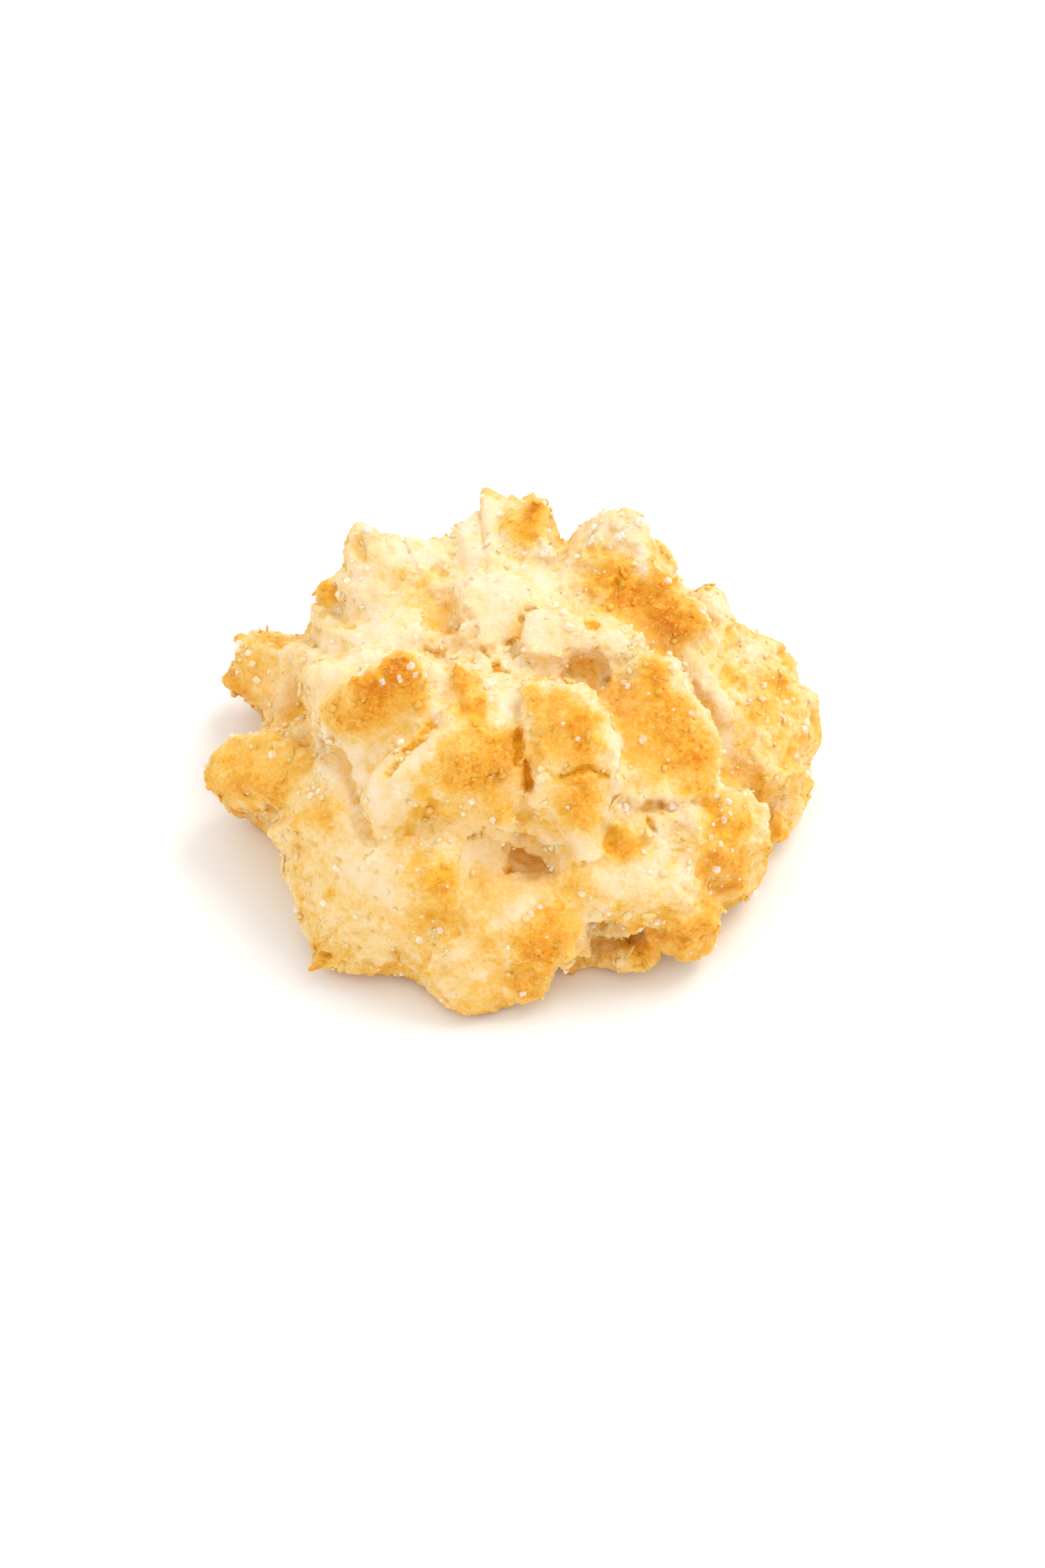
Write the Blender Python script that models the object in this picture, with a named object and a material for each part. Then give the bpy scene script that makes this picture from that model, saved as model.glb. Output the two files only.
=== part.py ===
"""A coconut macaroon: one rough drop of baked dough, lumpy all over and flat underneath."""

import math

import bmesh
import bpy
from mathutils import Matrix, Vector, noise

MM = 0.001
CELL = 0.5            # size of the cells in which the lumps are fused, mm
ROUNDING = 4          # passes that soften the fused lumps
TRIANGLES = 8600      # size of the finished skin
SEAM = 0.0001         # how near two points of the cut may lie before they count as one, mm
REACH_OF_HOLLOW = 1.6            # a hollow fades out at this many times its radius
HEART = Vector((0.0, 0.0, 6.0))   # every lump is rooted toward this point, mm

# The lumps in front are laid out on a plan that leans back, so that depth and height both show on it.
# A place on it is (x, rise), as seen from a point straight out from its middle; all in mm.
LEAN = math.radians(47.0)
DISTANCE = 408.0
MIDDLE_OF_PLAN = Vector((1.0, 0.0, 1.3))
RIGHT = Vector((1.0, 0.0, 0.0))
RISE = Vector((0.0, math.sin(LEAN), math.cos(LEAN)))
AHEAD = Vector((0.0, math.cos(LEAN), -math.sin(LEAN)))

# Roughness of the skin: (wavelength, height) in mm.
ROUGHNESS = ((5.0, 0.55), (2.4, 0.35))

# The body under the lumps: each slab is a lower and an upper ring of balls.
# ring = (count, half width, half depth, centre x, centre y, height, ball radius), mm
SLABS = (
    ((10, 20.5, 20.5, 0.0, 0.0, 1.0, 3.5), (8, 16.5, 16.5, 0.5, 1.0, 11.0, 3.0)),
    ((9, 17.0, 17.0, 0.0, 1.5, 8.0, 3.0), (7, 12.5, 11.0, 0.0, 4.0, 17.5, 3.0)),
    ((8, 14.0, 11.0, 0.0, 5.0, 14.0, 3.0), (6, 11.0, 8.0, 0.0, 5.5, 20.0, 2.5)),
)

# Lumps in front: name, root radius, how far the root reaches toward the heart,
# balls (x and rise on the plan, height above the table, radius), mm.
FRONT_LUMPS = (
    ("upper left face", 7.0, 0.35, ((-15.5, 23.5, 24.5, 1.2), (-9, 22.5, 24, 1.8), (-15.5, 20, 22.5, 1.6),
                                    (-8.5, 19.5, 23, 1.6), (-15, 15.5, 18.5, 2.5), (-9, 15.5, 20, 2.5))),
    ("golden step", 4.0, 0.40, ((-18.5, 19, 17, 1.4), (-19, 17, 15, 1.6), (-17.5, 15, 15, 2.5))),
    ("left slope", 6.0, 0.40, ((-19.5, 14.5, 15, 2), (-10, 14, 21.5, 2.5), (-19, 11, 15.5, 2.5),
                               (-13.5, 11.5, 20, 2.5))),
    ("spur at the back", 5.0, 0.40, ((-3.5, 27, 26, 0.7), (-1, 26.5, 26, 0.9), (-6, 24, 24.5, 1.2),
                                     (-7, 21.5, 23.5, 2), (-3, 21, 24, 2.5))),
    ("scorched knob", 5.0, 0.40, ((0.5, 26, 27, 1.3), (2, 26, 26.5, 1.2), (-1, 24, 26, 1.5),
                                  (3.5, 23, 24.5, 1.6), (1, 21, 24, 2.5))),
    ("crown, back", 7.0, 0.40, ((-6, 18.5, 23.5, 2), (-1.5, 19, 24.5, 2.2), (3.5, 19, 24, 2))),
    ("crown, left plate", 6.0, 0.40, ((-5, 17, 23.5, 2), (-1.5, 16.5, 23.5, 2), (-3.5, 12.5, 21.5, 2.2),
                                      (-6, 13.5, 21.5, 2))),
    ("crown, right plate", 6.0, 0.40, ((1, 16, 24, 1.8), (4, 16, 24, 1.6), (1.5, 12, 22.5, 2),
                                       (5, 13.5, 23.5, 1.8))),
    ("crown, foot", 6.0, 0.40, ((-6, 11, 21, 2), (-2.5, 10, 21.5, 2), (1, 8.5, 21, 2), (-5, 6.5, 20.5, 2))),
    ("ridge right of the crown", 5.0, 0.40, ((6, 13.5, 23.5, 1.6), (10, 12.5, 23.5, 1.6),
                                             (8, 14.5, 23.5, 1.6), (6.5, 12, 21.5, 2))),
    ("sugared block", 6.0, 0.40, ((7.5, 24.5, 26.5, 2), (10.5, 24.5, 27, 1.6), (11, 21.5, 25.5, 1.6),
                                  (6, 23.5, 25, 1.8), (6.5, 20.5, 24, 2), (10, 19, 24, 1.6))),
    ("knob behind the block", 5.0, 0.40, ((12, 23, 23, 1.5), (13.5, 21, 21.5, 1.5), (12.5, 20.5, 22, 2))),
    ("scorched face", 6.0, 0.40, ((12.5, 19.5, 25, 1.4), (14.5, 19, 24, 1.5), (16.5, 15, 22, 1.5),
                                  (13.5, 16, 22.5, 1.8), (7.5, 18, 24, 1.8))),
    ("pale shoulder", 5.0, 0.40, ((17, 17.5, 20, 1.3), (18, 16, 18.5, 1.6), (18.5, 13, 18, 2.2),
                                  (18, 10.5, 17, 2.2))),
    ("right valley", 6.0, 0.40, ((16, 11.5, 19, 2), (18, 7, 15, 2.2), (19.5, 3.5, 12.5, 2.5),
                                 (20.5, 10.5, 15, 2.2))),
    ("right lobe, top", 6.0, 0.40, ((20, 13.5, 15, 2), (23.5, 12.5, 14.5, 1.5), (24, 11, 13, 1.8),
                                    (22, 9.5, 14.5, 2.5))),
    ("right lobe", 8.0, 0.35, ((23.5, 10, 13.5, 2.2), (25.5, 7.5, 10, 2.2), (25.5, 4.5, 8.5, 2.5),
                               (25, 1, 7.5, 2.2), (22.5, 1.5, 12, 2.5), (22.5, 6.5, 13.5, 2.5))),
    ("right lobe, foot", 6.0, 0.40, ((25, 5.5, 5, 2.5), (24.5, 0, 4, 2.5), (23.5, -2.5, 3.5, 2.5))),
    ("big face", 6.0, 0.35, ((11.5, 11.5, 24, 1.6), (13.5, 10.5, 23, 1.6), (17.5, 2.5, 17, 1.3),
                             (17, -0.5, 15, 1.2), (12, -1, 15.5, 1.6), (9.5, 4, 18.5, 2.5),
                             (9, 9, 21.5, 2.5))),
    ("right lump", 5.0, 0.35, ((1, 9, 25, 1.2), (5, 9, 25, 1.2), (7, 5.5, 23, 1.6), (8, 0.5, 19, 2),
                               (1, 5.5, 22.5, 1.6), (1.5, -1, 18.5, 1.8), (6, -4, 15, 2))),
    ("tab", 3.0, 0.30, ((-6, 10.5, 24.5, 0.8), (-4, 8, 23.5, 1), (-5, 8, 23, 1.2))),
    ("middle lump", 6.0, 0.35, ((-6.5, 6.5, 23.5, 1.5), (-3, 6.5, 23.5, 1.5), (-1.5, 3, 21.5, 2),
                                (-7.5, 2.5, 21.5, 2.5), (-2, -2, 17, 2), (-12, 0, 18.5, 2.2),
                                (-12.5, -4, 14.5, 1.6), (-7, -4, 14.5, 2.2))),
    ("left peak", 6.0, 0.35, ((-11.5, 11.5, 26, 1.3), (-10.5, 10.5, 25.5, 1.4), (-9.5, 6, 21.5, 1.6),
                              (-14, 10, 25, 1.6), (-14, 4, 18.5, 2.2), (-17.5, 6, 19, 2))),
    ("left peak, tail", 6.0, 0.35, ((-20, 9.5, 18.5, 1.8), (-19.5, 7.5, 17.5, 1.8), (-16, 10.5, 22, 2),
                                    (-15, 6, 20, 2.2))),
    ("left knob", 5.0, 0.40, ((-25.5, 13, 12, 1.5), (-24, 13, 12, 1.4), (-25.5, 10.5, 10, 1.8),
                              (-23.5, 6.5, 9, 2.2), (-22.5, 11.5, 12.5, 2.5))),
    ("left knob, foot", 5.0, 0.45, ((-27, 10.5, 5, 1.5), (-27, 9, 4, 1.5), (-25.5, 8, 2.5, 1.8))),
    ("small spike", 2.0, 0.25, ((-21, 15.5, 14.5, 0.5), (-21, 14.5, 13.5, 0.9))),
    ("left arm", 6.0, 0.40, ((-27.5, 1.5, 8, 2.6), (-26, 2.5, 9.5, 2.2), (-27, -0.5, 6, 2.2),
                             (-20.5, 3, 12, 2.5), (-20.5, -1.5, 11, 2.5))),
    ("left arm, foot", 5.0, 0.40, ((-27.5, -1, 3.5, 1.8), (-26, -2.5, 2, 1.8))),
    ("left terrace", 8.0, 0.40, ((-19, 1.5, 13.5, 2.5), (-16, -1.5, 14.5, 2.5), (-19.5, -3, 11.5, 2.5),
                                 (-13, -7, 12, 2.5))),
    ("lower left face", 8.0, 0.40, ((-22, -3, 8.5, 2.2), (-20.5, -6.5, 6.5, 2.2), (-19, -12, 4.5, 2.2),
                                    (-18, -16, 2, 1.8), (-13, -16.5, 2, 1.8), (-9, -16.5, 3, 2.2),
                                    (-14, -7, 12.5, 2.5))),
    ("ledge over the hollow", 6.0, 0.40, ((-12.5, -5, 13.5, 2.5), (-8.5, -5.5, 13.5, 2.5),
                                          (-4, -5.5, 12.5, 2.5), (-0.5, -6.5, 11, 2.5),
                                          (-3, -9.5, 9.5, 2.5))),
    ("front hump", 5.0, 0.40, ((-8, -7, 13.5, 2.5), (-10.5, -9.5, 11.5, 2.5), (-7, -11.5, 9.5, 2.2),
                               (-9, -14, 6.5, 2.5))),
    ("front arm", 6.0, 0.35, ((4.5, -10, 10, 2), (3, -15, 6, 2.2), (1.5, -19, 3, 1.8), (0.5, -19.5, 2, 1.6),
                              (-4.5, -20, 2, 1.8), (-8, -18.5, 2, 2), (-7.5, -14, 7, 2.5),
                              (-2.5, -11.5, 10, 2.5))),
    ("arm under the big face", 6.0, 0.40, ((6, -8, 11.5, 2.2), (7.5, -10.5, 9.5, 2.2), (12, -7, 12, 2.2),
                                           (13.5, -9.5, 10.5, 2.2))),
    ("plates under the big face", 5.0, 0.40, ((9, -3.5, 14, 1.6), (11, -5.5, 13, 1.8), (14, -2.5, 15, 1.8),
                                              (16, -3.5, 14.5, 1.8), (15.5, -6, 12.5, 2))),
    ("lower right lobe", 6.0, 0.40, ((17, -13, 5.5, 2.2), (16.5, -15, 3.5, 2), (12.5, -13, 6.5, 2.2),
                                     (15.5, -9.5, 9, 2.5), (13.5, -16, 2.5, 1.6))),
    ("right hump", 6.0, 0.40, ((20.5, -2.5, 12, 2.2), (18, -2, 14, 2), (21, -6.5, 7.5, 2),
                               (20.5, -9.5, 5, 2.2), (18, -10, 5, 2.5), (18, -6, 12, 2.2))),
    ("right hump, foot", 5.0, 0.40, ((21.5, -8, 3.5, 2), (20, -10.5, 2.5, 2))),
    ("right nib", 3.0, 0.40, ((24, -4.5, 5, 1.5),)),
    ("front foot", 5.0, 0.40, ((11.5, -16.5, 2, 1.8), (5, -16, 1.5, 1.4), (15, -15.5, 2, 1.4))),
)

# Lumps behind: name, root radius, how far the root reaches toward the heart, balls (x, y, z, radius), mm.
BACK_LUMPS = (
    ("back left peak", 6.0, 0.40, ((-14, 16.5, 16, 1.4), (-17, 12.5, 12, 1.8), (-12, 13, 19, 2),
                                   (-17, 15.5, 7, 2.2))),
    ("back middle peak", 6.0, 0.40, ((-3, 19.5, 15, 1.6), (1, 18.5, 18, 1.6), (-7, 15.5, 16, 2.2),
                                     (2, 21.5, 12.5, 2.2))),
    ("back right peak", 6.0, 0.40, ((9, 18.5, 16, 1.6), (13.5, 15, 13.5, 1.8), (8, 14.5, 20, 2),
                                    (13, 20, 8, 2.2))),
    ("back left lobe", 6.0, 0.40, ((-19.5, 16, 4, 2.2), (-15, 20, 5, 2.2), (-17.5, 17.5, 3.5, 2.5),
                                   (-12, 20.5, 9.5, 2.5), (-22, 11, 6.5, 2.5))),
    ("back middle lobe", 6.0, 0.40, ((-8, 24, 7, 2.2), (-1.5, 26, 5.5, 2.2), (3, 25.5, 8.5, 1.8),
                                     (-5, 23.5, 10, 2.2), (-4, 25.5, 2.5, 2.2))),
    ("back right lobe", 6.0, 0.40, ((9.5, 24, 6.5, 2.2), (14.5, 21, 5.5, 2.2), (18, 17, 6.5, 2),
                                    (13, 21.5, 2.5, 2.5), (10, 22, 10.5, 2))),
    ("right rear lobe", 6.0, 0.40, ((22, 12, 6, 2.2), (24.5, 8, 6, 2.2), (20.5, 14.5, 4, 2.5),
                                    (20.5, 10.5, 9.5, 2), (24.5, 9, 2.5, 2.2))),
    ("back left foot", 5.0, 0.40, ((-21, 12, 3, 2.5), (-10, 22.5, 2.5, 2.5))),
    ("back right foot", 5.0, 0.40, ((4, 25, 2.5, 2.5), (17, 16.5, 2.5, 2.5))),
)

# Hollows pressed into the skin in front: name, x and rise on the plan, height, radius, depth, mm.
HOLLOWS = (
    ("under the saddle", 0.5, -7.5, 11.5, 2.2, 2.0),
    ("slit between the lumps", 0.0, 1.5, 19.5, 1.6, 1.6),
    ("golden pocket", 6.0, 10.0, 22.0, 2.0, 1.8),
    ("right pocket", 19.5, 8.0, 14.5, 1.6, 1.2),
    ("front undercut", 11.5, -16.0, 1.5, 3.0, 1.6),
)


def clear_scene():
    """Remove whatever the file starts with."""
    for obj in list(bpy.data.objects):
        bpy.data.objects.remove(obj, do_unlink=True)


def on_sight_line(x, rise, height):
    """The point at a height above the table that shows at (x, rise) on the leaning plan."""
    sight = x * RIGHT + rise * RISE + DISTANCE * AHEAD
    eye = MIDDLE_OF_PLAN - DISTANCE * AHEAD
    return eye + sight * ((height - eye.z) / sight.z)


def placed(balls):
    """Balls given on the leaning plan, moved to where they stand."""
    return [(*on_sight_line(x, rise, height), radius) for x, rise, height, radius in balls]


def ring(count, half_width, half_depth, cx, cy, height, radius):
    """Balls evenly spaced round an ellipse."""
    turns = [2.0 * math.pi * i / count for i in range(count)]
    return [(cx + half_width * math.cos(t), cy + half_depth * math.sin(t), height, radius)
            for t in turns]


def rooted(balls, root_radius, reach):
    """The lump's balls and one more that roots it in the body."""
    middle = sum((Vector(ball[:3]) for ball in balls), Vector()) / len(balls)
    root = middle.lerp(HEART, reach)
    return list(balls) + [(root.x, root.y, root.z, root_radius)]


def add_hull(whole, balls):
    """Wrap a skin round some balls and add it to the whole."""
    hull = bmesh.new()
    for x, y, z, radius in balls:
        place = Matrix.Translation((x, y, z))
        bmesh.ops.create_icosphere(hull, subdivisions=2, radius=radius, matrix=place)
    wrapped = bmesh.ops.convex_hull(hull, input=hull.verts)
    inside = {v for v in wrapped["geom_interior"] + wrapped["geom_unused"]
              if isinstance(v, bmesh.types.BMVert)}
    bmesh.ops.delete(hull, geom=list(inside), context="VERTS")
    skin = bpy.data.meshes.new("hull")
    hull.to_mesh(skin)
    hull.free()
    whole.from_mesh(skin)
    bpy.data.meshes.remove(skin)


def evaluated(obj):
    """Apply an object's modifiers."""
    depsgraph = bpy.context.evaluated_depsgraph_get()
    result = bpy.data.meshes.new_from_object(obj.evaluated_get(depsgraph))
    old = obj.data
    obj.modifiers.clear()
    obj.data = result
    bpy.data.meshes.remove(old)


def fuse(obj):
    """Make one closed skin of the overlapping lumps."""
    remesh = obj.modifiers.new("fuse", "REMESH")
    remesh.mode = "VOXEL"
    remesh.voxel_size = CELL
    soften = obj.modifiers.new("soften", "SMOOTH")
    soften.factor = 0.5
    soften.iterations = ROUNDING
    evaluated(obj)


def keep_outer_shell(bm):
    """Drop any bubble closed inside the body."""
    bm.verts.ensure_lookup_table()
    unseen = set(bm.verts)
    shells = []
    while unseen:
        first = unseen.pop()
        shell = [first]
        for vert in shell:
            for edge in vert.link_edges:
                other = edge.other_vert(vert)
                if other in unseen:
                    unseen.remove(other)
                    shell.append(other)
        shells.append(shell)
    shells.sort(key=len, reverse=True)
    for shell in shells[1:]:
        bmesh.ops.delete(bm, geom=shell, context="VERTS")


def press_hollows(bm):
    """Push the skin in at each hollow."""
    for _, x, rise, height, radius, depth in HOLLOWS:
        middle = on_sight_line(x, rise, height)
        for vert in bm.verts:
            gap = (vert.co - middle).length / (REACH_OF_HOLLOW * radius)
            if gap < 1.0:
                vert.co -= vert.normal * (depth * (1.0 - gap * gap) ** 2)


def roughen(bm):
    """Give the skin its uneven, torn look."""
    offsets = []
    for vert in bm.verts:
        rise = sum(height * noise.noise(vert.co / wave) for wave, height in ROUGHNESS)
        offsets.append(vert.normal * rise)
    for vert, offset in zip(bm.verts, offsets):
        vert.co += offset


def thin_out(obj):
    """Bring the skin down to its finished number of triangles."""
    reduce_by = TRIANGLES / (2.0 * len(obj.data.polygons))
    decimate = obj.modifiers.new("thin out", "DECIMATE")
    decimate.ratio = reduce_by
    evaluated(obj)


def cut_flat(bm):
    """Cut the underside flat and close it."""
    everything = bm.verts[:] + bm.edges[:] + bm.faces[:]
    bmesh.ops.bisect_plane(bm, geom=everything, dist=SEAM, plane_co=(0.0, 0.0, 0.0),
                           plane_no=(0.0, 0.0, -1.0), clear_outer=True)
    rim = [edge for edge in bm.edges if edge.is_boundary]
    bmesh.ops.contextual_create(bm, geom=rim)
    bmesh.ops.triangulate(bm, faces=[face for face in bm.faces if len(face.verts) > 3])
    bmesh.ops.recalc_face_normals(bm, faces=bm.faces)


def centre_on_base(bm):
    """Put the origin at the middle of the footprint, in metres."""
    xs = [vert.co.x for vert in bm.verts]
    ys = [vert.co.y for vert in bm.verts]
    shift = Vector((-(min(xs) + max(xs)) / 2.0, -(min(ys) + max(ys)) / 2.0, 0.0))
    bmesh.ops.translate(bm, verts=bm.verts, vec=shift)
    bmesh.ops.scale(bm, verts=bm.verts, vec=(MM, MM, MM))


def baked_dough():
    """The plain material of the baked dough."""
    material = bpy.data.materials.new("baked dough")
    material.use_nodes = True
    shader = material.node_tree.nodes["Principled BSDF"]
    shader.inputs["Base Color"].default_value = (0.89, 0.62, 0.27, 1.0)
    shader.inputs["Roughness"].default_value = 0.7
    shader.inputs["Metallic"].default_value = 0.0
    return material


def edit(obj, *steps):
    """Run mesh steps on an object."""
    bm = bmesh.new()
    bm.from_mesh(obj.data)
    for step in steps:
        bm.normal_update()
        step(bm)
    bm.to_mesh(obj.data)
    bm.free()


def build_macaroon():
    """Make the macaroon."""
    whole = bmesh.new()
    for lower, upper in SLABS:
        add_hull(whole, ring(*lower) + ring(*upper))
    for _, root_radius, reach, balls in FRONT_LUMPS:
        add_hull(whole, rooted(placed(balls), root_radius, reach))
    for _, root_radius, reach, balls in BACK_LUMPS:
        add_hull(whole, rooted(balls, root_radius, reach))
    mesh = bpy.data.meshes.new("macaroon")
    whole.to_mesh(mesh)
    whole.free()
    macaroon = bpy.data.objects.new("macaroon", mesh)
    bpy.context.scene.collection.objects.link(macaroon)
    fuse(macaroon)
    edit(macaroon, keep_outer_shell, press_hollows, roughen)
    thin_out(macaroon)
    edit(macaroon, cut_flat, centre_on_base)
    macaroon.data.name = "macaroon"
    macaroon.data.materials.append(baked_dough())


clear_scene()
build_macaroon()
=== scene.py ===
"""The look of a coconut macaroon: rough baked dough, crumbs and sugar, round its packed solid."""

import math

import bmesh
import bpy
import numpy as np
from bpy.props import FloatProperty, FloatVectorProperty, IntProperty, PointerProperty
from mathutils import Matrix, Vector
from mathutils.bvhtree import BVHTree


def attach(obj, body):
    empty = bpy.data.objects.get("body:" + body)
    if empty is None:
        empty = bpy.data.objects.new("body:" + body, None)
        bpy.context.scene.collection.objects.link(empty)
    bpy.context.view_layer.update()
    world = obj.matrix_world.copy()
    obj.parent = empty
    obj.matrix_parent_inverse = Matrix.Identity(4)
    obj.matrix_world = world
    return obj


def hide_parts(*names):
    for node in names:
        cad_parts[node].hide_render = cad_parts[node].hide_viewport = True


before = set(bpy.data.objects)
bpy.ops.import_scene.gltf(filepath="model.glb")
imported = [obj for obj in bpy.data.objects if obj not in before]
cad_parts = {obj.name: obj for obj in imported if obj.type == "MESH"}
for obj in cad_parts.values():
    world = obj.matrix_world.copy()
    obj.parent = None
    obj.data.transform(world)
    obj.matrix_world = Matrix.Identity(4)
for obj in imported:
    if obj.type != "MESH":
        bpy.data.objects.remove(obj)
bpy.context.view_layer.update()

bl_info = {
    "name": "Coconut macaroon",
    "version": (1, 0, 0),
    "blender": (4, 5, 0),
    "location": "View3D > Sidebar > Macaroon",
    "description": "Builds a rough baked coconut macaroon with browned peaks, crumbs and sugar",
    "category": "Add Mesh",
}

MM = 0.001
NODE = "macaroon"

# Places on the macaroon are given as (x, s) in mm on a plan that leans back: x to the right and
# s up the plan, seen from the front at TILT degrees above the table, from DISTANCE mm away.
TILT = math.radians(47.0)
DISTANCE = 408.0
AIM = np.array((1.0, 0.3, 1.3))
RIGHT = np.array((1.0, 0.0, 0.0))
RISE = np.array((0.0, math.sin(TILT), math.cos(TILT)))
AHEAD = np.array((0.0, math.cos(TILT), -math.sin(TILT)))
EYE = AIM - DISTANCE * AHEAD
MIDDLE = np.array((-0.9, 2.9))

# How high the dough may stand, in mm.
TOP = 28.6

# Further off than anything on the macaroon, in mm.
FAR = 1e9

# Rounds of averaging over neighbouring points: to iron a face, to find what stands out as a peak,
# as a broad lump and as a fine grain, and to soften the browning.
IRON_ROUNDS = 160
PEAK_ROUNDS = 160
BROAD_ROUNDS = 40
FINE_ROUNDS = 6
SOFT_ROUNDS = 9

# ---------------------------------------------------------------- what is where on the macaroon

# The outline as seen from the eye, clockwise from the tip of the left arm.
OUTLINE = (
    # the left arm's top, the brown foot and the left knob
    (-30.0, 1.3), (-29.0, 3.1), (-27.2, 4.6), (-25.0, 4.9), (-24.6, 6.4), (-26.3, 7.8), (-28.2, 9.5),
    (-27.0, 11.9), (-26.9, 13.9), (-25.0, 14.6), (-22.8, 14.2), (-21.4, 14.0), (-20.4, 14.4),
    # the upper left face
    (-19.7, 17.0), (-19.2, 18.7), (-17.0, 20.3), (-16.9, 22.4), (-16.0, 24.5), (-14.7, 24.8),
    (-13.0, 24.0), (-7.7, 23.1),
    # the knobs at the back
    (-6.0, 24.5), (-4.1, 26.3), (-3.9, 27.8), (-3.1, 28.2), (-0.6, 26.9), (1.1, 27.4), (2.4, 26.7),
    (2.9, 25.3), (3.7, 23.7), (4.4, 23.1), (5.0, 24.4), (8.4, 26.3), (11.3, 25.8), (12.3, 23.6),
    (14.0, 21.7), (15.0, 19.0),
    # the right side
    (15.6, 18.4), (17.7, 18.7), (18.9, 17.8), (19.8, 15.7), (21.6, 14.4), (24.0, 13.4), (25.4, 11.8),
    (26.0, 9.6), (27.5, 8.4), (28.0, 5.5), (27.9, 3.6), (27.1, 2.0), (27.3, 0.0), (26.2, -3.0),
    (24.8, -5.1), (23.4, -6.0), (22.7, -8.4), (21.4, -10.4), (18.7, -12.2),
    # the front
    (18.6, -13.8), (17.6, -15.9), (15.5, -16.8), (13.5, -16.2), (11.8, -17.3), (9.5, -17.7), (6.0, -17.2),
    (4.5, -17.9), (3.2, -17.4), (2.3, -19.5), (0.5, -20.4), (-4.5, -21.7), (-7.8, -20.5), (-9.4, -18.9),
    (-11.5, -18.0), (-15.5, -17.9), (-19.6, -17.0),
    # the left face and the left arm's underside
    (-19.6, -15.6), (-21.0, -13.2), (-21.6, -10.5), (-22.7, -8.0), (-22.7, -6.3), (-25.2, -3.8),
    (-27.4, -2.9), (-28.5, -1.3), (-29.6, -0.6),
)

# Faces evened out before anything is cut into them: path on the plan, radius.
IRONED = (
    # the saddle and the hollow under it
    (((0.4, -2.8), (2.6, -4.2)), 2.2), (((-2.9, -5.2), (0.7, -5.9), (2.9, -7.6)), 2.2),
    (((-1.3, -8.7), (1.4, -9.2)), 1.6),
    # the crown's recess and its soft faces
    (((-8.5, 15.7), (-7.1, 14.0)), 1.6), (((-7.9, 20.7), (-5.7, 20.3)), 1.3),
    (((-3.7, 18.4), (0.8, 18.8)), 2.1), (((-4.3, 15.6), (-1.9, 15.7)), 1.7),
    (((2.1, 14.7), (5.1, 13.3)), 2.0), (((-6.9, 9.7), (-6.5, 8.1), (-2.7, 7.9)), 1.8),
    # the golden pocket, the ones above it and beside it, and the slope under the scorched face
    (((5.1, 10.9), (6.7, 9.3)), 1.5), (((5.9, 15.9), (6.9, 15.0)), 1.2),
    (((10.6, 15.3), (12.7, 14.3)), 1.7), (((19.2, 11.1), (19.0, 9.8)), 1.2),
    # the slit, the pocket at the right lump's foot and the recess under the big face
    (((-0.5, 4.7), (-0.2, 2.6), (0.5, 0.3)), 1.2), (((8.6, -4.6), (8.1, -6.1)), 1.1),
    (((11.5, -2.4), (12.2, -3.6)), 1.2), (((13.4, -2.4), (14.7, -4.3)), 1.4),
    # the right side, the left shelves and the gap under the front arm
    (((19.4, 5.1), (20.1, 2.8)), 1.3), (((-20.2, 4.9), (-20.6, 2.3)), 1.6),
    (((-20.3, 13.2), (-16.7, 11.6)), 1.8), (((-16.8, 1.7), (-16.3, -2.7), (-14.9, -4.8)), 1.3),
    (((5.9, -15.6), (8.2, -15.5)), 1.2),
)

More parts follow.
